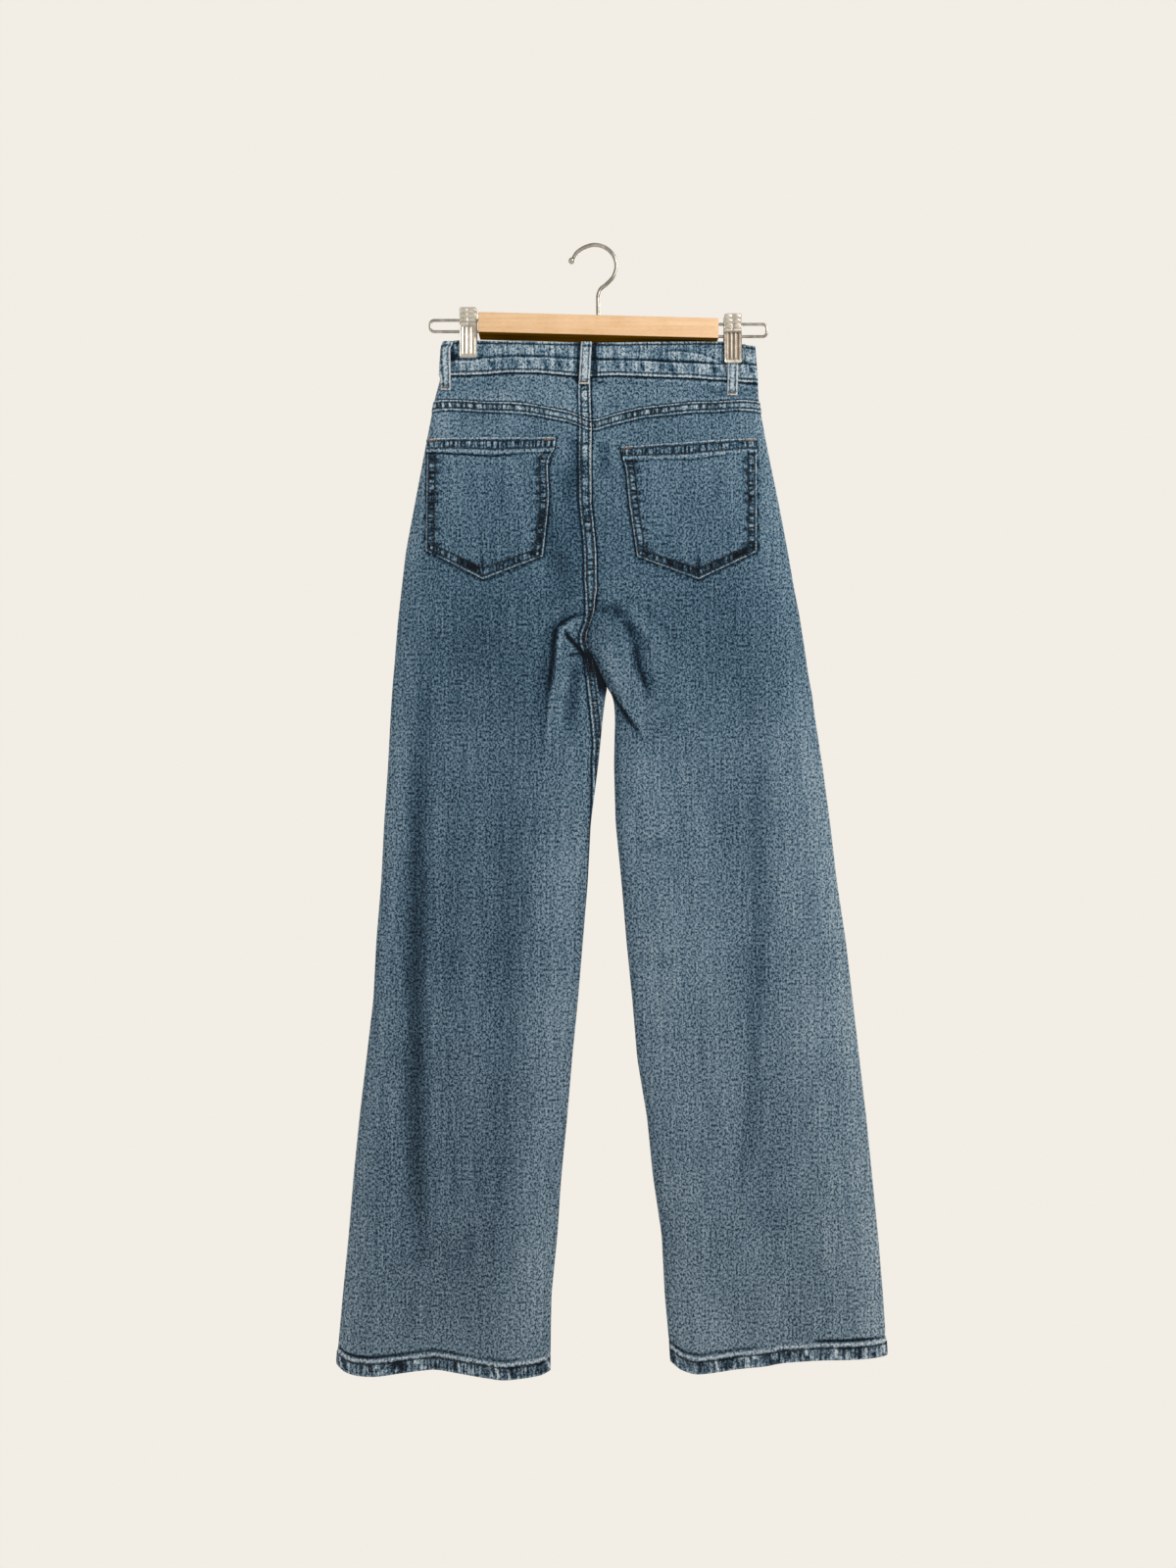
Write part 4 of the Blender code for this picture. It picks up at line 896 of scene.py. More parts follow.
YOKE_DEPTH = 30.0
YOKE_STEPS = spaced(0.0, (2.0, 0.4), (12.0, 1.6), (46.0, 1.9))
YOKE_SHARES = spaced(0.0, (0.85, 1 / 24), (1.0, 1 / 40))
TUCK_LINE = ((-22, -139.5), (-16, -144.0), (-13, -149.0))   # pale, left of the middle belt loop
SHADE_LINE = ((-2, -139.5), (5, -140.5), (13, -141.5))      # dark, right of it
Yoke = namedtuple("Yoke", "side width length area")
YOKES = (Yoke("left", 0.176, 0.048, 0.0060), Yoke("right", 0.182, 0.048, 0.0060))
for yoke in YOKES:
    z = []
    for share in YOKE_SHARES:
        start = panel_x(yoke.side, WAIST_LEVEL - YOKE_DEPTH * share, YOKE_STEPS, SEAM_STEPS)
        z.append((waist_line(start) - SEAM_GAP) * (1 - share) + (yoke_line(start) + 0.1) * share)
    x, z = np.array([row_x(yoke.side, row, YOKE_STEPS, SEAM_STEPS) for row in z]), np.array(z)
    outer, inner = leg_edges(yoke.side, z)
    below_waist, above_lap = waist_line(x) - z, z - yoke_line(x)
    wear_and_shade = wash(x, z) + relief("back", yoke.side, x, z) + 0.15 * wander(x, z, 22.0, 14.0, 21)
    # painted shadow: a dark line under the waistband's lower edge and one where the lap's edge covers the
    # yoke, each with a pale line beside it
    wear_and_shade = wear_and_shade - 2.2 * ridge(below_waist - 0.3, 1.0) + 0.4 * ridge(below_waist - 3.4, 1.4)
    wear_and_shade += 0.3 * ridge(above_lap - 2.8, 1.2) - 1.9 * ridge(above_lap, 1.0)
    wear_and_shade += 0.3 * ridge(np.abs(x - outer), 2.2)
    from_inner = np.abs(inner - x)
    lift, pull_down = 0.0 * x, 0.0 * x
    if yoke.side == "left":
        lift = LAP_PROUD * (1 - ease(from_inner, LAP_WIDTH - 0.5, LAP_WIDTH + 0.9))
        wear_and_shade += double_row(from_inner, LAP_WIDTH, 1.15)
        pull_down = 0.8 * plateau(from_inner - 2.0, 7.8, 0.8)
        # a tuck beside the belt loop, with a painted shadow in it
        wear_and_shade -= 2.4 * ridge(np.hypot((x + 16.5) / 4.5, (z + 138.5) / 3.0), 1.0)
        wear_and_shade += 0.9 * ridge(line_distance(TUCK_LINE, x, z)[0], 0.9)
    else:
        # painted shade in the seam beside the left yoke's lap
        wear_and_shade -= 1.8 * ridge(from_inner - 0.5, 1.1)
        wear_and_shade -= 1.6 * ridge(line_distance(SHADE_LINE, x, z)[0], 0.8)
    made = lay_cloth(
        "denim_yoke_" + yoke.side, skin_point("back", yoke.side, x, z, lift), (x, z),
        (wear_and_shade, 0.25 * ridge(below_waist, 8.0), pull_down), PANEL_WALL, "yoke_" + yoke.side,
    )


# Front leg panels
# Two panels of the same denim that meet at the closed fly, scooped at the top for the pockets and
# turned up at the hem like the back. Two rows of stitches run round each mouth, down the fly in
# a long curve and beside the centre seam.
FRONT_DIP = 14.0
FRONT_WAIST_GAP = 0.9
MOUTH_WIDTH = 82.0
MOUTH_DEPTH = 76.0
MOUTH_ROWS, FLY_ROWS, CENTRE_ROWS = (2.8, 9.2), (2.0, 8.0), (2.6, 8.6)
FRONT_ROW_SHADE = 0.8
FLY_WIDTH = 38.0
FLY_FOOT, FLY_TURN = -300.0, -252.0     # the curve ends and starts at these heights
MOUTH_LEVEL = -171.0    # where a mouth's outer end is measured
SCOOP_FOOT = -249.0     # lowest of the rows that follow the scoop
FRONT_STEPS = spaced(0.0, (10.0, 1.0), (46.0, 3.0), (82.0, 3.0))
FRONT_LEVELS = spaced(-252.0, (-360.0, 3.4), (-440.0, 2.0), (-520.0, 3.4), (-1085.0, 6.0))


def front_dip(x):
    """How far the front sags below the back between the clips."""
    centre, reach = sum(CLIP_X) / 2, (CLIP_X[1] - CLIP_X[0]) / 2 - CLIP_WIDTH
    t = np.minimum(np.abs(x - centre) / reach, 1.0)
    return FRONT_DIP * (1 - t * t) ** 2


def face_dip(face, x):
    return front_dip(x) if face == "front" else 0.0


def front_waist_line(x):
    return waist_line(x) - front_dip(x) - FRONT_WAIST_GAP


def mouth_drop(side, x):
    """How far the pocket mouth is scooped below the waist seam."""
    outer = section(side + "_side", MOUTH_LEVEL)
    share = np.clip(np.abs(x - outer) / MOUTH_WIDTH, 0.0, 1.0)
    return MOUTH_DEPTH * np.sqrt(1 - share ** 2)


def fly_distance(side, x, z):
    """Distance from the fly's stitching, which curves in to the centre at its foot."""
    from_inner = np.abs(leg_edges(side, z)[1] - x)
    turn = ease(z, FLY_TURN, FLY_FOOT - 4.0)
    return from_inner - FLY_WIDTH * np.sqrt(np.clip(1 - turn * turn, 0.0, 1.0))


FrontPanel = namedtuple("FrontPanel", "side width length area")
FRONT_PANELS = (
    FrontPanel("left", 0.27, 0.99, 0.218),
    FrontPanel("right", 0.28, 0.99, 0.222),
)
for panel in FRONT_PANELS:
    side = panel.side
    start = panel_x(side, YOKE_LEVEL, FRONT_STEPS, SEAM_STEPS)
    top = front_waist_line(start) - mouth_drop(side, start) - SEAM_GAP
    z_rows = [top * (1 - share) + SCOOP_FOOT * share for share in (*np.linspace(0.0, 0.94, 30), 1.0)]
    x_rows = [row_x(side, row, FRONT_STEPS, SEAM_STEPS) for row in z_rows]
    flow = flow_rows(side, yoke_line, (), FRONT_LEVELS, FRONT_STEPS, SEAM_STEPS)
    x, z = np.concatenate([x_rows, flow[0]]), np.concatenate([z_rows, flow[1]])
    lift, wear_and_shade = hem_marks(x, z)
    wear_and_shade += wash(x, z) + relief("front", side, x, z) + 0.4 * relief("front", side, x, z, 14.0)
    outer, inner = leg_edges(side, z)
    from_inner = np.abs(inner - x)
    scoop = front_waist_line(x) - mouth_drop(side, x) - z
    near_mouth = (np.abs(x - outer) < MOUTH_WIDTH + 8).astype(float)
    rows = sum(ridge(scoop - at, FRONT_ROW_SHADE) for at in MOUTH_ROWS)
    wear_and_shade += near_mouth * (1.1 * ridge(scoop - 0.8, 0.8) - 1.8 * rows)
    fly = fly_distance(side, x, z)
    above = ease(z, FLY_FOOT - 6.0, FLY_FOOT)
    if side == "left":
        lift = np.maximum(lift, 0.6 * (1 - ease(fly, -0.6, 1.0)) * above)
        wear_and_shade -= above * 1.7 * sum(ridge(fly + at, FRONT_ROW_SHADE) for at in FLY_ROWS)
        seam = (1 - above) * ease(z, -416.0, -409.0)
        wear_and_shade -= seam * 1.7 * sum(ridge(from_inner - at, FRONT_ROW_SHADE) for at in CENTRE_ROWS)
        wear_and_shade += 0.9 * ridge(from_inner - 0.5, 1.0)
    wear_and_shade += 0.3 * ridge(np.abs(x - outer), 2.2)
    pull_across = near_mouth * plateau(scoop - 3.0, 5.5, 1.0) + 0.6 * in_hem(x, z)
    pull_down = 0.7 * plateau(-fly - 2.5, 5.0, 1.0) * above * (side == "left")
    made = lay_cloth(
        "denim_front_" + side, skin_point("front", side, x, z, lift), (-x, z),
        (wear_and_shade, pull_across, pull_down), PANEL_WALL, "front_" + side,
    )


# Front pocket facings
# What shows inside each scooped mouth: a piece of the same denim, a little deeper than the panel.
FACING_WALL = 1.0
for side in ("left", "right"):
    steps = TOWARD[side] * spaced(0.0, (4.0, 0.8), (MOUTH_WIDTH - 2.0, 2.2))
    first_x = section(side + "_side", MOUTH_LEVEL) + steps
    top = front_waist_line(first_x) - SEAM_GAP
    low = front_waist_line(first_x) - mouth_drop(side, first_x) + 0.6
    shares = np.linspace(0.0, 1.0, 34)[:, None]
    z = top + (low - top) * shares
    x = leg_edges(side, z)[0] + steps
    # painted shade along the lower edge, under the panel's mouth, and along the top, under the waistband;
    # a little darker overall
    wear_and_shade = relief("front", side, x, z) - 0.3 - 1.2 * ridge(z - low, 2.2) - 0.8 * ridge(top - z, 1.6)
    made = lay_cloth(
        "denim_facing_" + side, skin_point("front", side, x, z, -0.5), (-x, z), (wear_and_shade, 0.0, 0.0),
        FACING_WALL, "pocket_facing_" + side,
    )


# Waistband
# One strip folded double, turned in and stitched all round, open at centre front, where its left
# end is buttoned over its right. A long crease runs round it under the clips, and the lower half
# is puckered.
BAND_WALL = 2.6
BAND_PROUD = 0.8
BAND_LEVEL = -116.0
BAND_TURN = 14.0        # from a side fold, how far the strip's round end reaches
BAND_STEP = 1.5         # way along the strip from one stretch to the next
OVERLAP_CENTRE = -3.0
OVERLAP_HALF = 17.0
TUCK_RAMP = 14.0        # over which the right end sinks under the left
TUCK_END = 0.4
# the long crease: (x, z)
BAND_CREASE = (
    (-158, -119.0), (-142, -115.5), (-128, -116.5), (-114, -114.0), (-79, -113.5), (-49, -114.0),
    (-18, -116.3), (0, -117.0), (30, -117.2), (59, -117.7), (79, -119.6), (96, -119.5), (131, -120.5),
    (148, -119.0), (167, -122.3),
)
# dark puckers under it: (x, how deep)
BAND_SPOTS = (
    (-143, 0.7), (-131, 1.0), (-106, 0.9), (-97, 0.7), (-82, 1.0), (-68, 1.0), (-52, 0.4), (-38, 0.7),
    (-30, 0.5), (21, 0.5), (33, 0.6), (46, 0.8), (65, 0.9), (77, 1.2), (98, 1.2), (121, 1.2), (157, 0.6),
)
# a slanting ridge by the right clip: (x, z)
BAND_RIDGE = ((62, -112.0), (84, -110.0), (106, -112.5), (120, -117.0), (134, -122.0), (150, -124.0))


def band_point(face, x, up, lift):
    """Points on the waistband; up is 0 at its lower edge and 1 at its top."""
    low, high = waist_line(x) - face_dip(face, x), along(WAIST_TOP, x) - face_dip(face, x)
    z = low + (high - low) * up
    made = []
    for side in ("left", "right"):
        outer, base = leg_edges(side, z)[0], leg_edges(side, (low + high) / 2)[0]
        moved = np.where(np.abs(x - base) < 12, x + outer - base, x)
        made.append(skin_point(face, side, moved, z, lift))
    left_half = np.broadcast_to(x < MIDDLE_X, z.shape)
    return np.where(left_half[..., None], made[0], made[1]), z


band_left, band_right = (leg_edges(side, BAND_LEVEL)[0] for side in ("left", "right"))
overlap_right = OVERLAP_CENTRE + OVERLAP_HALF
ROUND_STEPS = spaced(0.0, (2.4, 0.4), (9.0, 0.9), (BAND_TURN, 1.2))
front_run = spaced(overlap_right + TUCK_RAMP, (band_right - BAND_TURN, 1.6))
under_run = np.array([OVERLAP_CENTRE - OVERLAP_HALF, OVERLAP_CENTRE, overlap_right])
stretches = (
    ("front", under_run), ("front", front_run),
    ("front", band_right - ROUND_STEPS[-2::-1]), ("back", band_right - ROUND_STEPS[1:-1]),
    ("back", spaced(band_right - BAND_TURN, (band_left + BAND_TURN, 1.25))),
    ("back", band_left + ROUND_STEPS[-2::-1]), ("front", band_left + ROUND_STEPS[1:-1]),
    ("front", spaced(band_left + BAND_TURN, (overlap_right - 2.0, 1.6))),
)
BAND_UPS = spaced(0.01, (0.16, 0.018), (0.84, 0.026), (1.0, 0.018))[:, None]
band_points, band_walk, band_z, band_wear_and_shade, walked = [], [], [], [], 0.0
for face, run in stretches:
    x = run[None, :]
    z = band_point(face, x, BAND_UPS, 0.0)[1]
    drop = face_dip(face, x)
    top, low = along(WAIST_TOP, x) - drop, waist_line(x) - drop
    crease = z - along(BAND_CREASE, x) + drop
    slope = z - along(BAND_RIDGE, x) + drop
    on_ridge = ease(x, 60.0, 84.0) * (1 - ease(x, 140.0, 152.0)) * (face == "back")
    fade = 0.8 + 0.35 * streaks(x, 21.0, 31)
    ends = ease(np.abs(x - band_left), 1.0, 10.0) * ease(np.abs(x - band_right), 1.0, 10.0)
    lift = -1.1 * ridge(crease, 1.7) * fade * ends + 0.7 * ridge(crease - 5.0, 3.6) * ends
    lift += 0.5 * ridge(crease + 5.0, 3.4) * ends + 0.7 * ridge(slope, 2.0) * on_ridge
    lean = x + 0.25 * crease + 1.2 * rungs(z, 5.0, 35)
    spot = sum(share * ridge(lean - place, 2.9) for place, share in BAND_SPOTS)
    spot = spot * (0.75 + 0.5 * wander(x, z, 5.0, 6.0, 36))
    lift -= 0.8 * spot * ridge(crease + 6.8, 5.4) * ends
    # painted shade: darker in the crease and along the band's lower edge, on top of the dye kept there;
    # the slanting ridge is paler on its crest from rubbing and painted light, and darker below it as
    # painted shade
    wear_and_shade = 0.95 - 2.8 * ridge(crease, 1.25) * fade + 0.6 * ridge(crease + 2.2, 0.9)
    wear_and_shade += 0.15 * (crease < 0) - 1.9 * spot * ridge(crease + 6.8, 5.4)
    wear_and_shade += 0.3 * wander(x, z, 7.0, 6.0, 33)
    wear_and_shade += on_ridge * (0.9 * ridge(slope, 0.9) - 0.9 * ridge(slope - 2.4, 1.4))
    wear_and_shade += 0.6 * ridge(top - z - 0.5, 0.7) - 2.2 * ridge(top - z - 2.8, ROW_SHADE)
    wear_and_shade += 0.8 * ridge(z - low - 1.5, 0.7) - 2.2 * ridge(z - low - 4.0, ROW_SHADE)
    wear_and_shade -= 2.6 * ridge(z - low, 0.6)
    wear_and_shade -= 0.9 * np.clip(wander(x, z, 16.0, 12.0, 34), 0.0, 1.0) * (crease > 0)
    if face == "back":
        # painted shade beside the belt loops, and a painted shadow in a deep tuck between the left loop
        # and the clip
        wear_and_shade -= (1.2 + 1.2 * ease(crease, 0.0, -10.0)) * ridge(x + 16.5, 3.4)
        wear_and_shade = wear_and_shade - 2.2 * ridge(x + 0.2, 3.0) - 1.2 * ridge(x + 146.5, 1.8)
        wear_and_shade -= 2.0 * ridge(np.hypot((x + 142.0) / 6.5, (z + 112.5) / 2.6), 1.0)
    under = np.full(x.shape[1], BAND_WALL + 0.6 if run is under_run else 0.0)
    if run is front_run:
        under[0] = TUCK_END
    points = band_point(face, x, BAND_UPS, BAND_PROUD + lift - under)[0]
    walk = walked + np.concatenate([[0.0], np.cumsum(np.abs(np.diff(run)))])
    walked = walk[-1] + BAND_STEP
    band_points.append(points)
    band_walk.append(np.broadcast_to(walk, z.shape))
    band_z.append(z)
    band_wear_and_shade.append(np.broadcast_to(wear_and_shade, z.shape))
band_points, band_walk, band_z, band_wear_and_shade = (
    np.concatenate(part, axis=1) for part in (band_points, band_walk, band_z, band_wear_and_shade)
)
made = lay_cloth(
    "denim_waistband", band_points, (band_walk, band_z), (band_wear_and_shade, 0.4, 0.0), BAND_WALL, "waistband",
)


# Back pockets
# Patch pockets with a straight top, hemmed 14 mm deep, and a foot that comes to a blunt point.
# Their edges are turned under and stitched down in two rows.
PATCH_GAP = 0.3
POCKET_WALL = 1.1
POCKET_HEM = 14.0
POCKET_ROWS, POCKET_HEM_ROWS = (2.5, 8.8), (2.9, 10.2)
FOOT_SLANT = 0.93       # how much shorter a way is across the slanted foot than down the pocket
# pockets and loops are cut from other places of the cloth, so their speckle differs
POCKET_CUT, LOOP_CUT = 900.0, 400.0
across = spaced(0.0, (0.12, 0.0058), (0.88, 0.015), (1.0, 0.0058))[None, :]
shares = spaced(0.0, (0.15, 0.006), (0.86, 0.015), (1.0, 0.006))[:, None]
for pocket in POCKETS:
    across_all, shares_all = np.broadcast_arrays(across, shares)
    x, z = pocket_place(pocket, across_all, shares_all)
    width = np.hypot(x[:, -1:] - x[:, :1], z[:, -1:] - z[:, :1])
    from_side = np.minimum(across_all, 1 - across_all) * width
    from_top = shares_all * POCKET_DROP
    from_foot = (1 - shares_all) * POCKET_DROP * FOOT_SLANT
    edge = np.minimum(np.minimum(from_side, from_foot), from_top)
    turned = np.minimum(from_side, from_foot)
    hem = 1 - ease(from_top, POCKET_HEM - 0.6, POCKET_HEM + 0.6)
    lift = PATCH_GAP + POCKET_WALL + 0.7 * hem - 0.9 * (1 - ease(edge, 0.0, 1.3)) * (1 - hem)
    lift += 0.35 * plateau(turned, 9.6, 0.8) * (1 - hem) - 0.3 * ridge(from_top - 16.0, 1.4)
    sag = 0.7 * wander(x, z, 60.0, 60.0, 41) + 0.5
    lift += sag * ease(edge, 12.0, 40.0)
    wear_and_shade = wash(x, z) + relief("back", pocket.side, x, z) + 0.1 + 1.0 * ridge(edge - 0.6, 0.65)
    rows = sum(ridge(turned - at, ROW_SHADE) for at in POCKET_ROWS)
    top_rows = sum(ridge(from_top - at, ROW_SHADE) for at in POCKET_HEM_ROWS)
    wear_and_shade = wear_and_shade - 1.8 * (rows * (1 - hem) + top_rows * hem) + 0.5 * ridge(from_top - 13.0, 1.5)
    # painted shade in the wavy groove just under the pocket's hem
    wavy = from_top - 16.0 - 0.8 * streaks(x, 34.0, 43)
    depth = np.clip(0.75 + 0.7 * streaks(x, 30.0, 44), 0.2, 1.0)
    wear_and_shade -= 2.3 * ridge(wavy, 0.85) * depth
    # short dark dashes inside the rows, and a fan of them over the foot
    dash = np.clip(rungs(z, 3.6, 45) - 0.15, 0.0, 1.0) * ridge(from_side - 11.5, 3.2)
    fan = np.clip(streaks((x - pocket.foot[0]) * 0.9, 2.4, 46) + 0.1, 0.0, 1.0)
    fan = fan * ridge(x - pocket.foot[0] - 2.0, 8.0) * ridge(z - pocket.foot[1] - 15.0, 7.0)
    wear_and_shade -= (1 - hem) * (2.4 * dash + 2.2 * fan)
    blotch = np.clip(wander(x, z, 11.0, 13.0, 42) - 0.1, 0.0, 1.0) * plateau(turned - 2.0, 7.0, 0.8)
    wear_and_shade -= 1.6 * blotch * (1 - hem)
    pull_down = (1 - hem) * plateau(from_side - 3.0, 5.2, 0.8) * 0.8
    pull_across = 0.8 * (1 - hem) * plateau(from_foot - 3.0, 5.2, 0.8)
    pull_across = np.minimum(pull_across + hem * plateau(from_top - 3.4, 6.2, 0.8), 1.0)
    made = lay_cloth(
        "denim_pocket_" + pocket.side, skin_point("back", pocket.side, x, z, lift),
        (x + POCKET_CUT, z), (wear_and_shade, pull_across, pull_down), POCKET_WALL, "pocket_back_" + pocket.side,
    )


# Belt loops
# Narrow strips, folded and stitched down both edges, bar-tacked just under the waistband's lower
# seam. Their edges are rubbed pale.
LOOP_WALL = 1.4
Loop = namedtuple("Loop", "name face x low_x width low lean")
LOOPS = [Loop(*row) for row in (
    ("back", "back", -8.0, -10.5, 11.0, -143.5, 0.0),
    ("back_left", "back", -151.6, -151.0, 9.6, -148.0, 3.4),
    ("back_right", "back", 141.2, 140.2, 10.5, -153.0, 0.0),
    ("front_left", "front", -88.0, -89.0, 10.5, -150.0, 0.0),
    ("front_right", "front", 92.0, 93.0, 10.5, -152.0, 0.0),
)]


def loop_lift(loop, x, z):
    """Height of the cloth under a belt loop."""
    seam = waist_line(x) - face_dip(loop.face, x)
    lap = LAP_PROUD if loop.name == "back" else 0.0
    return lap + (BAND_PROUD + 0.7 - lap) * ease(z, seam - 5.0, seam + 1.5)


def loop_ends(loop, over=0.0):
    """Heights of a belt loop's top, drawn over the waistband's edge, and of its foot."""
    drop = face_dip(loop.face, loop.x)
    return along(WAIST_TOP, loop.x) - drop + over, loop.low - drop


def loop_bow(top, low, z):
    """How far a belt loop stands off the cloth between its ends."""
    return 0.5 * np.sin(np.pi * np.clip((top - z) / (top - low), 0, 1))


def loop_x(loop, top, low, z, offset):
    """X on a belt loop, offset from its middle; its top may lean to one side."""
    share = (top - z) / (top - low)
    return loop.x + (loop.low_x - loop.x) * share + loop.lean * (1 - ease(top - z, 0.0, 9.0)) + offset


def loop_point(loop, x, z, lift):
    """Points over a belt loop's place on the garment."""
    x = np.maximum(x, leg_edges("left", z)[0] + 0.8)
    made = [skin_point(loop.face, side, x, z, lift) for side in ("left", "right")]
    left_half = np.broadcast_to(x < MIDDLE_X, z.shape)
    return np.where(left_half[..., None], made[0], made[1])


loop_across = spaced(-0.5, (-0.3, 0.05), (0.3, 0.1), (0.5, 0.05))[None, :]
for loop in LOOPS:
    top, low = loop_ends(loop, 0.3)
    z = spaced(top, (low, 1.1))[:, None] + 0.0 * loop_across
    x = loop_x(loop, top, low, z, loop.width * loop_across)
    from_edge = (0.5 - np.abs(loop_across)) * loop.width + 0.0 * z
    from_end = np.minimum(top - z, z - low)
    raised = loop_lift(loop, x, z) + PATCH_GAP + LOOP_WALL + loop_bow(top, low, z)
    raised = raised - 0.7 * (1 - ease(from_edge, 0.0, 1.0)) - 0.5 * (1 - ease(from_end, 0.0, 1.2))
    wear_and_shade = 1.5 + 1.0 * ridge(from_edge - 0.6, 0.75) - 2.0 * ridge(from_edge - 2.5, 0.6)
    wear_and_shade = wear_and_shade - 1.2 * ridge(from_end - 4.5, 1.2) + 0.4 * wander(x, z, 4.0, 7.0, 51)
    wear_and_shade += 1.5 * ridge(z - low - 0.7, 0.8)
    made = lay_cloth(
        "denim_loop_" + loop.name, loop_point(loop, x, z, raised), (x + LOOP_CUT, z), (wear_and_shade, 0.0, 0.12),
        LOOP_WALL, "belt_loop_" + loop.name,
    )


# Topstitching
# Lockstitch in heavy brown cotton thread, in two rows along the felled seams and round the
# pockets, and in one along the waistband's edges and the hems. Each stitch lies a little sunk.
STITCH_PITCH = 3.3
STITCH_LENGTH = 2.7
STITCH_RADIUS = 0.42
BATCH = 40              # stitches made in one go, as a large bmesh grows slowly
ROW_LIFT = 0.05         # of a row's middle over the cloth

# Twisted cotton: its strands catch the light, and its dye is worn unevenly along a row
threads = {}
for tint, shades in (
    ("brown", ((0.0, "#110e0c"), (0.6, "#2d2620"), (1.0, "#6d5d4a"))),
    ("orange", ((0.0, "#3f2c1f"), (1.0, "#9c744e"))),
):
    threads[tint], tree, shader = new_material(tint + "_cotton_thread", roughness=0.7, sheen_weight=0.2)
    shade = add_node(tree, "ShaderNodeAttribute", attribute_name="shade").outputs["Fac"]
    dyed = set_stops(add_node(tree, "ShaderNodeValToRGB", {"Fac": shade}), shades)
    tree.links.new(dyed, shader.inputs["Base Color"])
    place = add_node(tree, "ShaderNodeTexCoord").outputs["Object"]
    strands = add_node(tree, "ShaderNodeTexWave", {
        "Vector": place, "Scale": 900.0, "Distortion": 1.0,
    }, wave_type="BANDS", bands_direction="DIAGONAL")
    bump = add_node(tree, "ShaderNodeBump", {
        "Height": strands.outputs["Fac"], "Strength": 0.5, "Distance": 0.0002,
    })
    tree.links.new(bump.outputs["Normal"], shader.inputs["Normal"])


def sew(name, stitches, seed, thread="brown"):
    """One mesh of stitches, each given by its two ends in millimetres."""
    chance = np.random.default_rng(seed)
    whole = bmesh.new()
    whole.verts.layers.float.new("shade")
    mesh = bpy.data.meshes.new(name)
    for first in range(0, len(stitches), BATCH):
        bm = bmesh.new()
        shade_layer = bm.verts.layers.float.new("shade")
        for start, end in stitches[first:first + BATCH]:
            run = Vector(end) - Vector(start)
            turn = run.to_track_quat("X", "Z").to_matrix().to_4x4()
            middle = Matrix.Translation((Vector(start) + Vector(end)) / 2 * MM)
            size = Matrix.Diagonal((run.length / 2 * MM, STITCH_RADIUS * MM, STITCH_RADIUS * MM, 1.0))
            stitch = bmesh.ops.create_uvsphere(
                bm, u_segments=6, v_segments=4, radius=1.0,
                matrix=middle @ turn @ size @ Matrix.Rotation(math.pi / 2, 4, "Y"),
            )
            tone = float(np.clip(chance.normal(0.42, 0.26), 0.0, 1.0))
            for vert in stitch["verts"]:
                vert[shade_layer] = tone
        bm.to_mesh(mesh)
        bm.free()
        whole.from_mesh(mesh)
    whole.to_mesh(mesh)
    whole.free()
    mesh.materials.append(threads[thread])
    mesh.shade_smooth()
    made = bpy.data.objects.new(name, mesh)
    bpy.context.scene.collection.objects.link(made)
    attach(made, "root")


def walked_steps(points):
    """Way walked along a row of points up to each of them."""
    return np.concatenate([[0.0], np.cumsum(np.linalg.norm(np.diff(points, axis=0), axis=1))])


def stitch_row(points, pitch=STITCH_PITCH, length=STITCH_LENGTH):
    """Ends of the stitches along a row of points."""
    steps = walked_steps(points)
    count = max(1, int(steps[-1] / pitch))
    starts = (np.arange(count) + 0.5) * steps[-1] / count
    ends = []
    for at in starts:
        pair = [np.clip(at - length / 2, 0, steps[-1]), np.clip(at + length / 2, 0, steps[-1])]
        ends.append([[np.interp(s, steps, points[:, axis]) for axis in range(3)] for s in pair])
    return ends


def on_skin(face, side, x, z, lift):
    """Points just over the cloth, for thread."""
    return skin_point(face, side, x, z, lift + ROW_LIFT)


def on_pocket(pocket, across, share, lift):
    """A row of points just over a pocket."""
    x, z = pocket_place(pocket, across[None, :], share[None, :])
    return on_skin("back", pocket.side, x[0], z[0], PATCH_GAP + POCKET_WALL + lift)


seam_rows, hem_rows_sewn = [], []
for side in ("left", "right"):
    toward = TOWARD[side]
    edge_x = leg_edges(side, YOKE_LEVEL)[0] + toward * 1.0
    x = spaced(edge_x, (-4.5 if side == "left" else -2.5, 1.5))
    for down in LAP_ROWS:
        z = yoke_line(x) - down
        seam_rows += stitch_row(on_skin("back", side, x, z, LAP_PROUD))
    z = spaced(-136.5, (-411.0, 2.0))
    if side == "left":
        for share in (0.0, 1.0):
            x = leg_edges("left", z)[1] - 2.7 - share * (seam_width(z) - 5.3)
            seam_rows += stitch_row(on_skin("back", "left", x, z, LAP_PROUD))
        z = spaced(-421.0, (-655.0, 2.0))
        for across_lap in INSEAM_ROWS:
            x = at_height(INSEAM_EDGE, z) + across_lap
            keep = x < leg_edges("left", z)[1] - 0.8
            seam_rows += stitch_row(on_skin("back", "left", x[keep], z[keep], LAP_PROUD))
    for face in ("back", "front"):
        outer, inner = leg_edges(side, HEM_LEVEL)
        x = spaced(outer + toward * 0.8, (inner - toward * 0.8, 1.5))
        z = hem_line(x) + HEM_DEPTH - 0.8
        hem_rows_sewn += stitch_row(on_skin(face, side, x, z, HEM_PROUD - 0.1), 2.9, 2.5)
sew("stitches_seams", seam_rows, 61)
sew("stitches_hems", hem_rows_sewn, 62)

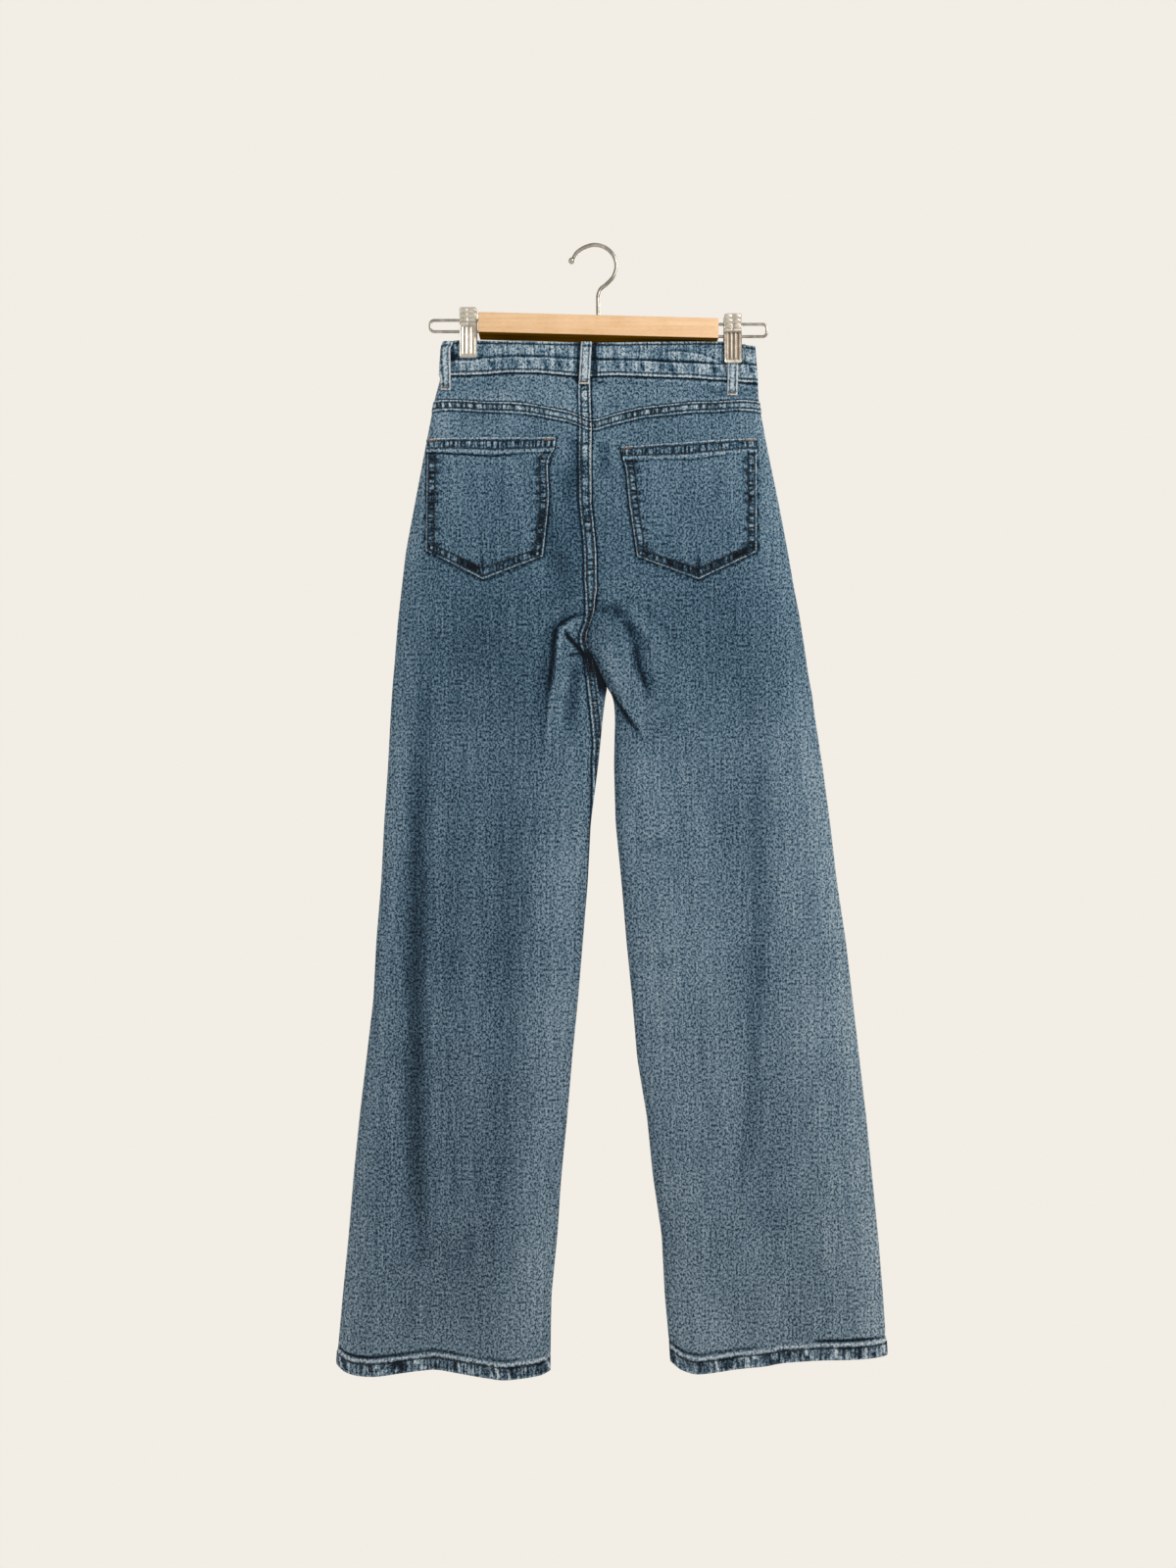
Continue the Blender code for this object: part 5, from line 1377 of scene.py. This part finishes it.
band_rows = []
for face, start, end in (
    ("back", band_left + 1, band_right - 1), ("front", band_left + 1, overlap_right - 3.0),
    ("front", overlap_right + TUCK_RAMP, band_right - 1),
):
    run = spaced(start, (end, 1.5))
    height = along(WAIST_TOP, run) - waist_line(run)
    for up in (4.0 / height, 1 - 3.0 / height):
        band_rows += stitch_row(band_point(face, run[None, :], up[None, :], BAND_PROUD - 0.05)[0][0])
sew("stitches_waistband", band_rows, 63)

POCKET_FOOT = 113.0     # the foot's rows are this much of a pocket's drop from its top
for pocket in POCKETS:
    rows = []
    for down in POCKET_HEM_ROWS:
        rows += stitch_row(on_pocket(
            pocket, np.linspace(0.02, 0.98, 90), np.full(90, down / POCKET_DROP), 0.6,
        ))
    for inset in POCKET_ROWS:
        from_edge, foot = inset / POCKET_DROP, 1 - inset / POCKET_FOOT
        down = np.linspace((POCKET_HEM + 1.5) / POCKET_DROP, foot, 110)
        for at in (from_edge, 1 - from_edge):
            rows += stitch_row(on_pocket(pocket, np.full(110, at), down, 0.25))
        across = np.linspace(from_edge, 1 - from_edge, 120)
        rows += stitch_row(on_pocket(pocket, across, np.full(120, foot), 0.25))
    sew("stitches_pocket_" + pocket.side, rows, 64)

loop_rows = []
for loop in LOOPS:
    top, low = loop_ends(loop)
    z = spaced(top - 3.0, (low + 3.0, 1.2))
    for offset in (-0.5, 0.5):
        x = loop_x(loop, top, low, z, offset * (loop.width - 4.6))
        raised = loop_lift(loop, x, z) + PATCH_GAP + LOOP_WALL + loop_bow(top, low, z)
        loop_rows += stitch_row(loop_point(loop, x, z, raised), 2.6, 2.1)
sew("stitches_loops", loop_rows, 65)

front_rows = []
for side in ("left", "right"):
    outer = section(side + "_side", MOUTH_LEVEL)
    for down in MOUTH_ROWS:
        turn = np.linspace(0.03, math.pi / 2 - 0.02, 60)
        x = outer + TOWARD[side] * (MOUTH_WIDTH - 1.0) * np.sin(turn)
        z = front_waist_line(x) - mouth_drop(side, x) - down
        x = x + leg_edges(side, z)[0] - outer
        keep = z < front_waist_line(x) - 3.0
        front_rows += stitch_row(on_skin("front", side, x[keep], z[keep], 0.0))
for inset in FLY_ROWS:
    turn = np.linspace(0.0, math.pi / 2, 40)
    straight = spaced(-156.0, (FLY_TURN, 2.0))
    curve_z = FLY_TURN - 50.0 * np.sin(turn)
    z = np.concatenate([straight, curve_z])
    from_inner = np.concatenate([np.full(len(straight), FLY_WIDTH), FLY_WIDTH * np.cos(turn)]) - inset
    keep = from_inner > 1.0
    x = leg_edges("left", z)[1] - from_inner
    front_rows += stitch_row(on_skin("front", "left", x[keep], z[keep], 0.6))
z = spaced(FLY_FOOT - 8.0, (-408.0, 2.0))
for inset in CENTRE_ROWS:
    front_rows += stitch_row(on_skin("front", "left", leg_edges("left", z)[1] - inset, z, 0.0))
sew("stitches_front", front_rows, 66)

# Bartacks: short dense bars of orange-brown thread where a pocket's or a loop's end is held
tacks = []


def bartack(points):
    """A dense bar of short cross stitches along a few points."""
    steps = walked_steps(points)
    for at in np.arange(0.0, steps[-1], TACK_PITCH):
        middle = np.array([np.interp(at, steps, points[:, axis]) for axis in range(3)])
        tacks.append([middle - TACK_HALF, middle + TACK_HALF])


TACK_PITCH = 0.62
TACK_HALF = np.array([0.25, 0.0, 1.1])
for pocket in POCKETS:
    for start, end in ((0.015, 0.085), (0.915, 0.985)):
        bartack(on_pocket(pocket, np.linspace(start, end, 8), np.full(8, 2.2 / POCKET_DROP), 0.7))
for loop in LOOPS:
    x = loop.low_x + np.linspace(-0.38, 0.38, 8) * loop.width
    z = np.full(8, loop_ends(loop)[1] + 2.4)
    bartack(loop_point(loop, x, z, loop_lift(loop, x, z) + PATCH_GAP + LOOP_WALL))
sew("bartacks", tacks, 67, "orange")


# Button
# A shank button of pressed brass with an aged face, at the waistband's overlap: a rolled rim, a
# shallow dish and a low dome in its middle.
aged_brass, tree, shader = new_material("aged_pressed_brass", metallic=1.0, roughness=0.42)
place = add_node(tree, "ShaderNodeTexCoord").outputs["Object"]
tarnish = add_node(tree, "ShaderNodeTexNoise", {"Vector": place, "Scale": 420.0, "Detail": 4.0})
ramp = add_node(tree, "ShaderNodeValToRGB", {"Fac": tarnish.outputs["Fac"]})
tree.links.new(set_stops(ramp, ((0.35, "#5a4a35"), (0.7, "#a58d66"))), shader.inputs["Base Color"])
bump = add_node(tree, "ShaderNodeBump", {
    "Height": tarnish.outputs["Fac"], "Strength": 0.3, "Distance": 0.0002,
})
tree.links.new(bump.outputs["Normal"], shader.inputs["Normal"])

button_x = OVERLAP_CENTRE
button_z = (waist_line(button_x) + along(WAIST_TOP, button_x)) / 2 - front_dip(button_x)
seat = skin_y("front", "right", np.array([button_x + 1.5]), np.array([button_z]))[0] + BAND_PROUD + 0.5
# radius and height over the seat
BUTTON_PROFILE = (
    (0.0, 0.0), (2.9, 0.0), (2.9, 0.9), (7.6, 0.9), (8.3, 1.1), (8.5, 1.5), (8.3, 1.9), (7.7, 2.1),
    (7.1, 2.0), (6.7, 1.7), (4.6, 1.6), (4.2, 1.9), (3.4, 2.3), (1.8, 2.6), (0.0, 2.7),
)
bm = bmesh.new()
verts = [bm.verts.new(((button_x + r) * MM, (seat + h) * MM, button_z * MM)) for r, h in BUTTON_PROFILE]
edges = [bm.edges.new(pair) for pair in zip(verts, verts[1:])]
bmesh.ops.spin(
    bm, geom=verts + edges, cent=(button_x * MM, 0, button_z * MM), axis=(0, 1, 0), angle=math.tau,
    steps=48, use_merge=True,
)
bmesh.ops.remove_doubles(bm, verts=bm.verts[:], dist=0.00001)
bmesh.ops.recalc_face_normals(bm, faces=bm.faces[:])
button = from_bmesh("brass_button", bm, aged_brass)
button.data.set_sharp_from_angle(angle=math.radians(40))
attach(button, "root")
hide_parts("button")


# Hanger bar
# A small bar of pale beech, planed and oiled, with eased edges. The grain runs along it.
def growth_rings(tree):
    """Streaks drawn out along the grain, 4 mm apart, and the place they are read at."""
    place = add_node(tree, "ShaderNodeTexCoord").outputs["Object"]
    along_grain = add_node(tree, "ShaderNodeMapping", {"Vector": place, "Scale": (9.0, 260.0, 260.0)})
    rings = add_node(tree, "ShaderNodeTexNoise", {
        "Vector": along_grain.outputs["Vector"], "Scale": 1.0, "Detail": 3.0,
    })
    return rings.outputs["Fac"], place


beech, tree, shader = new_material("planed_beech", roughness=0.5)
rings, place = growth_rings(tree)
flecks = add_node(tree, "ShaderNodeMapping", {"Vector": place, "Scale": (190.0, 1500.0, 1500.0)})
pores = add_node(tree, "ShaderNodeTexNoise", {
    "Vector": flecks.outputs["Vector"], "Scale": 1.0, "Detail": 1.0,
}).outputs["Fac"]
broad = add_node(tree, "ShaderNodeTexNoise", {"Vector": place, "Scale": 26.0, "Detail": 2.0})
tone = weighted(tree, (
    (rings, 0.5, 0.8), (pores, 0.5, 0.5), (broad.outputs["Fac"], 0.5, 0.6), (0.5, 0.0, 1.0),
))
ramp = add_node(tree, "ShaderNodeValToRGB", {"Fac": tone})
wood = set_stops(ramp, ((0.1, "#cfa473"), (0.5, "#e2bd94"), (0.9, "#edd0ac")))
tree.links.new(wood, shader.inputs["Base Color"])
bump = add_node(tree, "ShaderNodeBump", {"Height": pores, "Strength": 0.2, "Distance": 0.0002})
tree.links.new(bump.outputs["Normal"], shader.inputs["Normal"])

# Its underside is painted dark: painted shade under the bar
underside_shade, tree, shader = new_material("beech_underside_painted_shade", roughness=0.9)
shader.inputs["Specular IOR Level"].default_value = 0.0
ramp = add_node(tree, "ShaderNodeValToRGB", {"Fac": growth_rings(tree)[0]})
tree.links.new(set_stops(ramp, ((0.3, "#452c00"), (0.7, "#6c4a04"))), shader.inputs["Base Color"])

BAR_LEFT, BAR_RIGHT = -117.7, 125.6
BAR_TOP = (-70.4, -76.7)
BAR_HEIGHT, BAR_DEPTH, BAR_EDGE = 20.5, 24.0, 1.1
bm = bmesh.new()
bmesh.ops.create_cube(bm, size=1.0)
for vert in bm.verts:
    right = vert.co.x > 0
    top = BAR_TOP[1] if right else BAR_TOP[0]
    z = top if vert.co.z > 0 else top - BAR_HEIGHT
    vert.co = Vector((BAR_RIGHT if right else BAR_LEFT, math.copysign(BAR_DEPTH / 2, vert.co.y), z)) * MM
bmesh.ops.bevel(
    bm, geom=bm.edges[:], offset=BAR_EDGE * MM, segments=4, profile=0.5, affect="EDGES", material=-1,
)
bm.normal_update()
# faces that point down take the dark material, as painted shade
for face in bm.faces:
    face.material_index = int(face.normal.z < -0.6)
bar = from_bmesh("beech_bar", bm, beech, underside_shade)
bar.data.set_sharp_from_angle(angle=math.radians(30))
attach(bar, "root")
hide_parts("hanger_bar")


# Hook and rail
# Bent steel wire, nickel plated: a hook with a ball at its tip, standing in the bar through
# a small collar, and a bow at each end of the bar on which the clips slide.
# Drawn wire is darker than the clips' sheet: dark streaks are painted into its colour, a painted
# reflection of the dim side of the room.
def plating(tree, dark, pale):
    """Colour of nickel plate, darker in patches about 6 mm wide."""
    place = add_node(tree, "ShaderNodeTexCoord").outputs["Object"]
    dull = add_node(tree, "ShaderNodeTexNoise", {"Vector": place, "Scale": 160.0, "Detail": 3.0})
    ramp = add_node(tree, "ShaderNodeValToRGB", {"Fac": dull.outputs["Fac"]})
    return set_stops(ramp, ((0.3, dark), (0.7, pale)))


wire_steel, tree, shader = new_material("nickel_plated_wire", metallic=1.0, roughness=0.3)
tree.links.new(plating(tree, "#8d8982", "#c6c2ba"), shader.inputs["Base Color"])


def smooth_route(points, steps):
    """Points on a smooth curve through the given ones."""
    padded = [points[0] * 2 - points[1]] + list(points) + [points[-1] * 2 - points[-2]]
    route = []
    for before, start, end, after in zip(padded, padded[1:], padded[2:], padded[3:]):
        for i in range(steps):
            t = i / steps
            route.append(0.5 * (
                2 * start + (end - before) * t + (2 * before - 5 * start + 4 * end - after) * t * t
                + (3 * start - before - 3 * end + after) * t ** 3
            ))
    route.append(points[-1])
    return route


def bend_wire(name, route, diameter, node):
    """A round wire along a route of points, with closed ends."""
    curve = bpy.data.curves.new(name, "CURVE")
    curve.dimensions = "3D"
    curve.bevel_depth = diameter / 2 * MM
    curve.bevel_resolution = 6
    curve.use_fill_caps = True
    spline = curve.splines.new("POLY")
    spline.points.add(len(route) - 1)
    for point, spot in zip(spline.points, route):
        point.co = (spot.x * MM, spot.y * MM, spot.z * MM, 1.0)
    curve.materials.append(wire_steel)
    made = bpy.data.objects.new(name, curve)
    bpy.context.scene.collection.objects.link(made)
    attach(made, "root")
    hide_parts(node)


HOOK_WIRE, RAIL_WIRE = 4.0, 3.0
HOOK_STEM = 3.8         # X of the stem and the collar round it
HOOK_ROUTE = (
    (-21.4, -11.4), (-17.5, -5.5), (-10.0, -0.5), (0.0, 2.1), (10.5, -0.4), (19.2, -8.2), (22.4, -19.2),
    (19.5, -30.0), (12.4, -38.0), (6.4, -43.0), (HOOK_STEM, -50.0), (HOOK_STEM, -60.0), (HOOK_STEM, -73.2),
)
hook_route = smooth_route([Vector((x, 0.0, z)) for x, z in HOOK_ROUTE], 10)
bend_wire("nickel_hook", hook_route, HOOK_WIRE, "hanger_hook")

BALL_RADIUS = 3.25
bm = bmesh.new()
bmesh.ops.create_uvsphere(bm, u_segments=32, v_segments=18, radius=BALL_RADIUS * MM)
tip = hook_route[0] + (hook_route[0] - hook_route[1]).normalized() * (BALL_RADIUS + 0.1)
bmesh.ops.translate(bm, verts=bm.verts[:], vec=tip * MM)
ball = from_bmesh("nickel_ball", bm, wire_steel)
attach(ball, "root")
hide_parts("hanger_hook_ball")

# radius and height over the bar
COLLAR = ((2.05, 0.0), (4.2, 0.0), (4.2, 0.7), (3.4, 1.2), (3.0, 2.4), (2.05, 2.6))
collar_z = np.interp(HOOK_STEM, (BAR_LEFT, BAR_RIGHT), BAR_TOP)
bm = bmesh.new()
verts = [bm.verts.new(((HOOK_STEM + r) * MM, 0.0, (collar_z + h) * MM)) for r, h in COLLAR]
edges = [bm.edges.new(pair) for pair in zip(verts, verts[1:] + verts[:1])]
bmesh.ops.spin(
    bm, geom=verts + edges, cent=(HOOK_STEM * MM, 0, 0), axis=(0, 0, 1), angle=math.tau, steps=40,
    use_merge=True,
)
bmesh.ops.recalc_face_normals(bm, faces=bm.faces[:])
collar = from_bmesh("nickel_collar", bm, wire_steel)
collar.data.set_sharp_from_angle(angle=math.radians(35))
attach(collar, "root")

Rail = namedtuple("Rail", "side bar_end bow_end top low")
RAILS = (Rail("left", BAR_LEFT, -167.5, -75.0, -86.5), Rail("right", BAR_RIGHT, 176.0, -79.0, -91.5))
RAIL_CORNER = 4.2
for rail in RAILS:
    away = -TOWARD[rail.side]
    start = rail.bar_end - away * 0.4
    turn = rail.bow_end - away * RAIL_CORNER
    route = [Vector((start, 0, rail.top)), Vector(((start + turn) / 2, 0, rail.top))]
    for centre_z, first in ((rail.top - RAIL_CORNER, math.pi / 2), (rail.low + RAIL_CORNER, 0.0)):
        for i in range(11):
            angle = first - math.pi / 2 * i / 10
            across_turn, up_turn = RAIL_CORNER * math.cos(angle), RAIL_CORNER * math.sin(angle)
            route.append(Vector((turn + away * across_turn, 0, centre_z + up_turn)))
    route += [Vector(((start + turn) / 2, 0, rail.low)), Vector((start, 0, rail.low))]
    bend_wire("nickel_rail_" + rail.side, route, RAIL_WIRE, "hanger_rail_" + rail.side)


# Clips
# Two pressed plates a side, nickel-plated sheet steel, sprung together over the rail and the
# waistband: four rows of small scallops at the top, then four long ribs, and a rolled rim.
nickel, tree, shader = new_material("nickel_plated_steel", metallic=1.0, roughness=0.4)
groove_tone_and_painted_reflection = add_node(tree, "ShaderNodeAttribute", attribute_name="groove_tone_and_painted_reflection").outputs["Fac"]
# the plate's colour turns brown where the grooves are darker and where a reflection is painted
aged = add_node(tree, "ShaderNodeMix", {
    "Factor": groove_tone_and_painted_reflection, "A": plating(tree, "#bdb7ac", "#e4dfd5"), "B": linear("#4f3a26"),
}, data_type="RGBA")
tree.links.new(aged.outputs["Result"], shader.inputs["Base Color"])

CLIP_HEIGHT = 51.0
CLIP_SHEET = 0.9
CLIP_CORNER = 1.6
# way down a plate and its half distance from the other
SPREAD = (
    (0.0, 4.6), (2.0, 4.0), (5.0, 3.0), (6.5, 2.6), (9.0, 1.8), (12.0, 1.8), (14.5, 2.2), (18.0, 2.8),
    (26.0, 3.8), (36.0, 4.0), (44.0, 4.2), (51.0, 4.6),
)
SCALLOP_ROWS = (3.4, 7.4, 11.4, 15.4)
RIB_SPAN = (19.0, 48.0)
Clip = namedtuple("Clip", "side x top over_loop")
CLIPS = (Clip("left", CLIP_X[0], -63.5, 0.0), Clip("right", CLIP_X[1], -69.8, 2.6))
across = spaced(-0.5, (0.5, 0.018))[None, :]
down = spaced(0.0, (CLIP_HEIGHT, 0.62))[:, None]
for clip in CLIPS:
    for face, outward in (("back", -1.0), ("front", 1.0)):
        offset = across * CLIP_WIDTH
        corner = np.minimum(down, CLIP_HEIGHT - down)
        shrink = CLIP_CORNER * (1 - rounded_end(corner, CLIP_CORNER))
        offset = offset * (1 - 2 * shrink / CLIP_WIDTH)
        spread = np.interp(down, *zip(*SPREAD))
        if face == "back":
            spread = spread + clip.over_loop * ease(down, 14.0, 22.0)
        phase = (across + 0.5) * 4.0 % 1.0
        inside = ease(0.5 - np.abs(across), 0.06, 0.12)
        rib = np.sin(np.pi * phase) ** 2 * ease(down, RIB_SPAN[0] - 1, RIB_SPAN[0] + 1)
        rib = rib * (1 - ease(down, RIB_SPAN[1] - 1.5, RIB_SPAN[1] + 0.5)) * inside
        half = (across + 0.5) * 2.0 % 1.0 - 0.5
        arch = 1.4 * (1 - (half * 2.2) ** 2)
        scallop = sum(
            ease(down - row + arch, -1.2, 0.2) * (1 - ease(down - row, 0.6, 1.5)) for row in SCALLOP_ROWS
        )
        scallop = np.clip(scallop, 0, 1) * ease(0.44 - np.abs(half), 0.0, 0.08) * (down < 18.0)
        rim = ridge(0.5 - np.abs(across) - 0.02, 0.02) + ridge(corner - 0.6, 0.7)
        y = spread + CLIP_SHEET + 0.85 * rib + 0.8 * scallop + 0.3 * np.clip(rim, 0, 1)
        x, z = clip.x + offset, clip.top - down + 0.0 * across
        points = np.stack([x + 0.0 * z, outward * y, z], axis=-1)
        # darker brown in the grooves, and on the right-hand clip a warm yellow face: a painted reflection
        # of a warm, dim part of the room
        groove = (1 - rib) * ease(down, 17.5, 19.5) * (1 - ease(down, 47.5, 49.0)) * inside
        groove = groove + 0.5 * (1 - scallop) * (down < 17.0) * (down > 1.5)
        warm_reflection = 0.5 if clip.side == "right" else 0.0
        painted_reflection = warm_reflection * ease(down, 17.0, 20.0) * (1 - ease(down, 47.0, 48.5))
        groove_and_reflection_tint = np.clip(0.55 * groove ** 3 + painted_reflection, 0.0, 0.85)
        name = "nickel_clip_%s_%s" % (clip.side, face)
        mesh = grid_mesh(name, points, {"groove_tone_and_painted_reflection": groove_and_reflection_tint})[0]
        mesh.materials.append(nickel)
        made = bpy.data.objects.new(name, mesh)
        bpy.context.scene.collection.objects.link(made)
        thick = made.modifiers.new("sheet", "SOLIDIFY")
        thick.thickness, thick.offset = CLIP_SHEET * MM, -1.0
        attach(made, "root")
        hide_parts("clip_%s_%s" % (clip.side, face))
